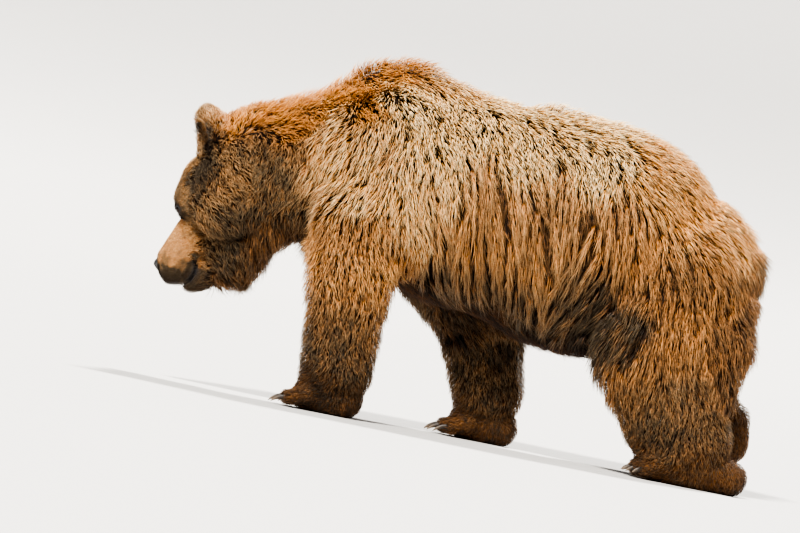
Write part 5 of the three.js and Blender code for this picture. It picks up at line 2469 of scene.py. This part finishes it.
class Bear:
    """The bear: its skin and all that grows on it."""

    FLESH = ("trunk", "neck", "tail", "head", "muzzle", "lower_jaw", "left_ear", "right_ear")
    SHORT = (6, 16)  # the depths between which a coat counts as short
    # The skin is painted lighter under a short coat and darker under a long one: painted shade.
    UNDER_SHORT = 0.6  # how light the skin is under a short coat
    UNDER_LONG = 0.8  # how dark it is under a long one
    LEG_PARTS = {"fore": ("upper", "lower", "paw"), "hind": ("thigh", "shank", "paw")}

    def __init__(self) -> None:
        """Makes ready the lay of the coat and the face."""
        self.lay = Lay()
        self.face = Face()
        self.skin = Skin(self.lay, self.face)

    def _flesh(self) -> list[str]:
        """The names of all the nodes that the skin stands for."""
        names = [(leg.name, self.LEG_PARTS[leg.name.split("_")[1]]) for leg in LEGS]
        return [*self.FLESH, *[f"{name}_{part}" for name, parts in names for part in parts]]

    def make(self) -> None:
        """Builds all the pieces in order."""
        skin = self.skin.make()
        log.info("skin: %d faces", len(skin.data.polygons))
        points = vectors_of(skin.data, "co") / MM - SHIFT
        bare = self.skin.bare(points)
        ground = Ground(skin, self.skin.body, self.lay, bare)
        marks = np.column_stack([ground.fur[name] for name in MARKS])
        short = 1 - smooth_step(*self.SHORT, ground.fur["depth"])
        give_vectors(skin.data, "marks", marks)
        # Painted shade on the skin: the root colour under a long coat, a lighter hair colour under
        # a short one.
        light, painted_shade = self.UNDER_SHORT * short, self.UNDER_LONG * (1 - short)
        give_vectors(skin.data, "skin", np.column_stack([bare, light, painted_shade]))
        skin.data.materials.append(SkinFinish().make("bear_skin"))
        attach(skin, "root")
        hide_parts(*self._flesh())
        for side in Side:
            log.info("eye: %s", Eyes(self.face).make(side).name)
        log.info("nose: %s", Nose().make().name)
        for leg in LEGS:
            log.info("claws: %s", Claws(leg).make().name)
        pieces = Coat(ground).grow()
        total = sum(len(piece.data.polygons) for piece in pieces)
        log.info("coat: %d pieces, %d triangles", len(pieces), total)


# --- floor, light and camera


@dataclass(frozen=True)
class Sun:
    """A broad soft light: where it stands, seen from the bear, and how broad it looks."""

    towards: Point
    strength: float
    spread: float
    colour: Colour


@dataclass(frozen=True)
class Studio:
    """A plain pale floor, soft light from above, and a camera at the bear's left side."""

    floor_colour: Colour = (0.55, 0.54, 0.525)
    grain: float = 30.0
    shade: float = 0.97
    half_width: float = 60.0
    front: float = -50.0
    back: float = 14.0
    curve: float = 9.0
    wall: float = 12.0
    key: Sun = Sun((-0.25, -0.6, 0.8), 6.6, 9, (1.0, 0.96, 0.9))
    top: Sun = Sun((0.2, 0.45, 0.9), 6.4, 8, (1.0, 0.97, 0.92))
    air: Colour = (0.80, 0.83, 0.88)
    air_strength: float = 0.38
    aim: Point = (-0.1891, -0.06, 0.4356)
    distance: float = 30.0
    width: float = 2.2
    sensor: float = 36.0
    clip: float = 200.0
    lift: float = 1.0
    roll: float = 11.5

    def floor(self) -> None:
        """Lays the floor, which sweeps up far behind the bear."""
        turns = np.linspace(0, math.pi / 2, 25)
        bend = zip(self.back + self.curve * np.sin(turns), self.curve * (1 - np.cos(turns)))
        line = [(self.front, 0.0), *bend, (self.back + self.curve, self.wall)]
        points = np.array([(x, y, z) for y, z in line for x in (-self.half_width, self.half_width)])
        faces = np.array([(row, row + 1, row + 3, row + 2) for row in range(0, len(points) - 2, 2)])
        thing = mesh_of("floor", points, faces)
        shader = Shader("floor")
        darker = tuple(value * self.shade for value in self.floor_colour)
        colour = shader.blend(shader.noise(shader.place(), self.grain), self.floor_colour, darker)
        thing.data.materials.append(shader.finish({"Base Color": colour, "Roughness": 0.9}))
        thing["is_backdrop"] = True

    @staticmethod
    def hang(name: str, sun: Sun) -> None:
        """Hangs up a light.

        Args:
            name: its name.
            sun: what it is like.
        """
        light = bpy.data.lights.new(name, "SUN")
        light.energy, light.color, light.angle = sun.strength, sun.colour, math.radians(sun.spread)
        thing = bpy.data.objects.new(name, light)
        thing.rotation_mode = "QUATERNION"
        thing.rotation_quaternion = Vector(sun.towards).to_track_quat("Z", "Y")
        bpy.context.scene.collection.objects.link(thing)

    def light(self) -> None:
        """Sets up the lamps and the pale air."""
        self.hang("key_light", self.key)
        self.hang("top_light", self.top)
        world = bpy.data.worlds.new("air")
        world.use_nodes = True
        background = world.node_tree.nodes["Background"]
        background.inputs[0].default_value = (*self.air, 1)
        background.inputs[1].default_value = self.air_strength
        bpy.context.scene.world = world
        bpy.context.scene.view_settings.look = "AgX - High Contrast"

    def camera(self) -> None:
        """Sets up the camera, rolled as if the bear walked up a slope."""
        lens = bpy.data.cameras.new("camera")
        lens.sensor_width = self.sensor
        lens.lens = self.sensor * self.distance / self.width
        lens.clip_end = self.clip
        thing = bpy.data.objects.new("camera", lens)
        lift, roll = math.radians(self.lift), math.radians(self.roll)
        forward = Vector((0, math.cos(lift), -math.sin(lift)))
        level, high = Vector((1, 0, 0)), Vector((0, math.sin(lift), math.cos(lift)))
        right = level * math.cos(roll) + high * math.sin(roll)
        up = high * math.cos(roll) - level * math.sin(roll)
        turn = Matrix((right, up, -forward)).transposed().to_4x4()
        place = Vector(self.aim) - forward * self.distance
        thing.matrix_world = Matrix.Translation(place) @ turn
        bpy.context.scene.collection.objects.link(thing)
        bpy.context.scene.camera = thing


def main() -> None:
    """Builds the bear and the studio round it."""
    logging.basicConfig(level=logging.INFO, format="%(name)s: %(message)s", stream=sys.stdout)
    cad_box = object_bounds()
    Bear().make()
    studio = Studio()
    studio.floor()
    studio.light()
    studio.camera()
    boxes = {"cad": cad_box, "visual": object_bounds()}
    sizes = {name: [list(corner) for corner in box] for name, box in boxes.items()}


if __name__ == "__main__":
    main()
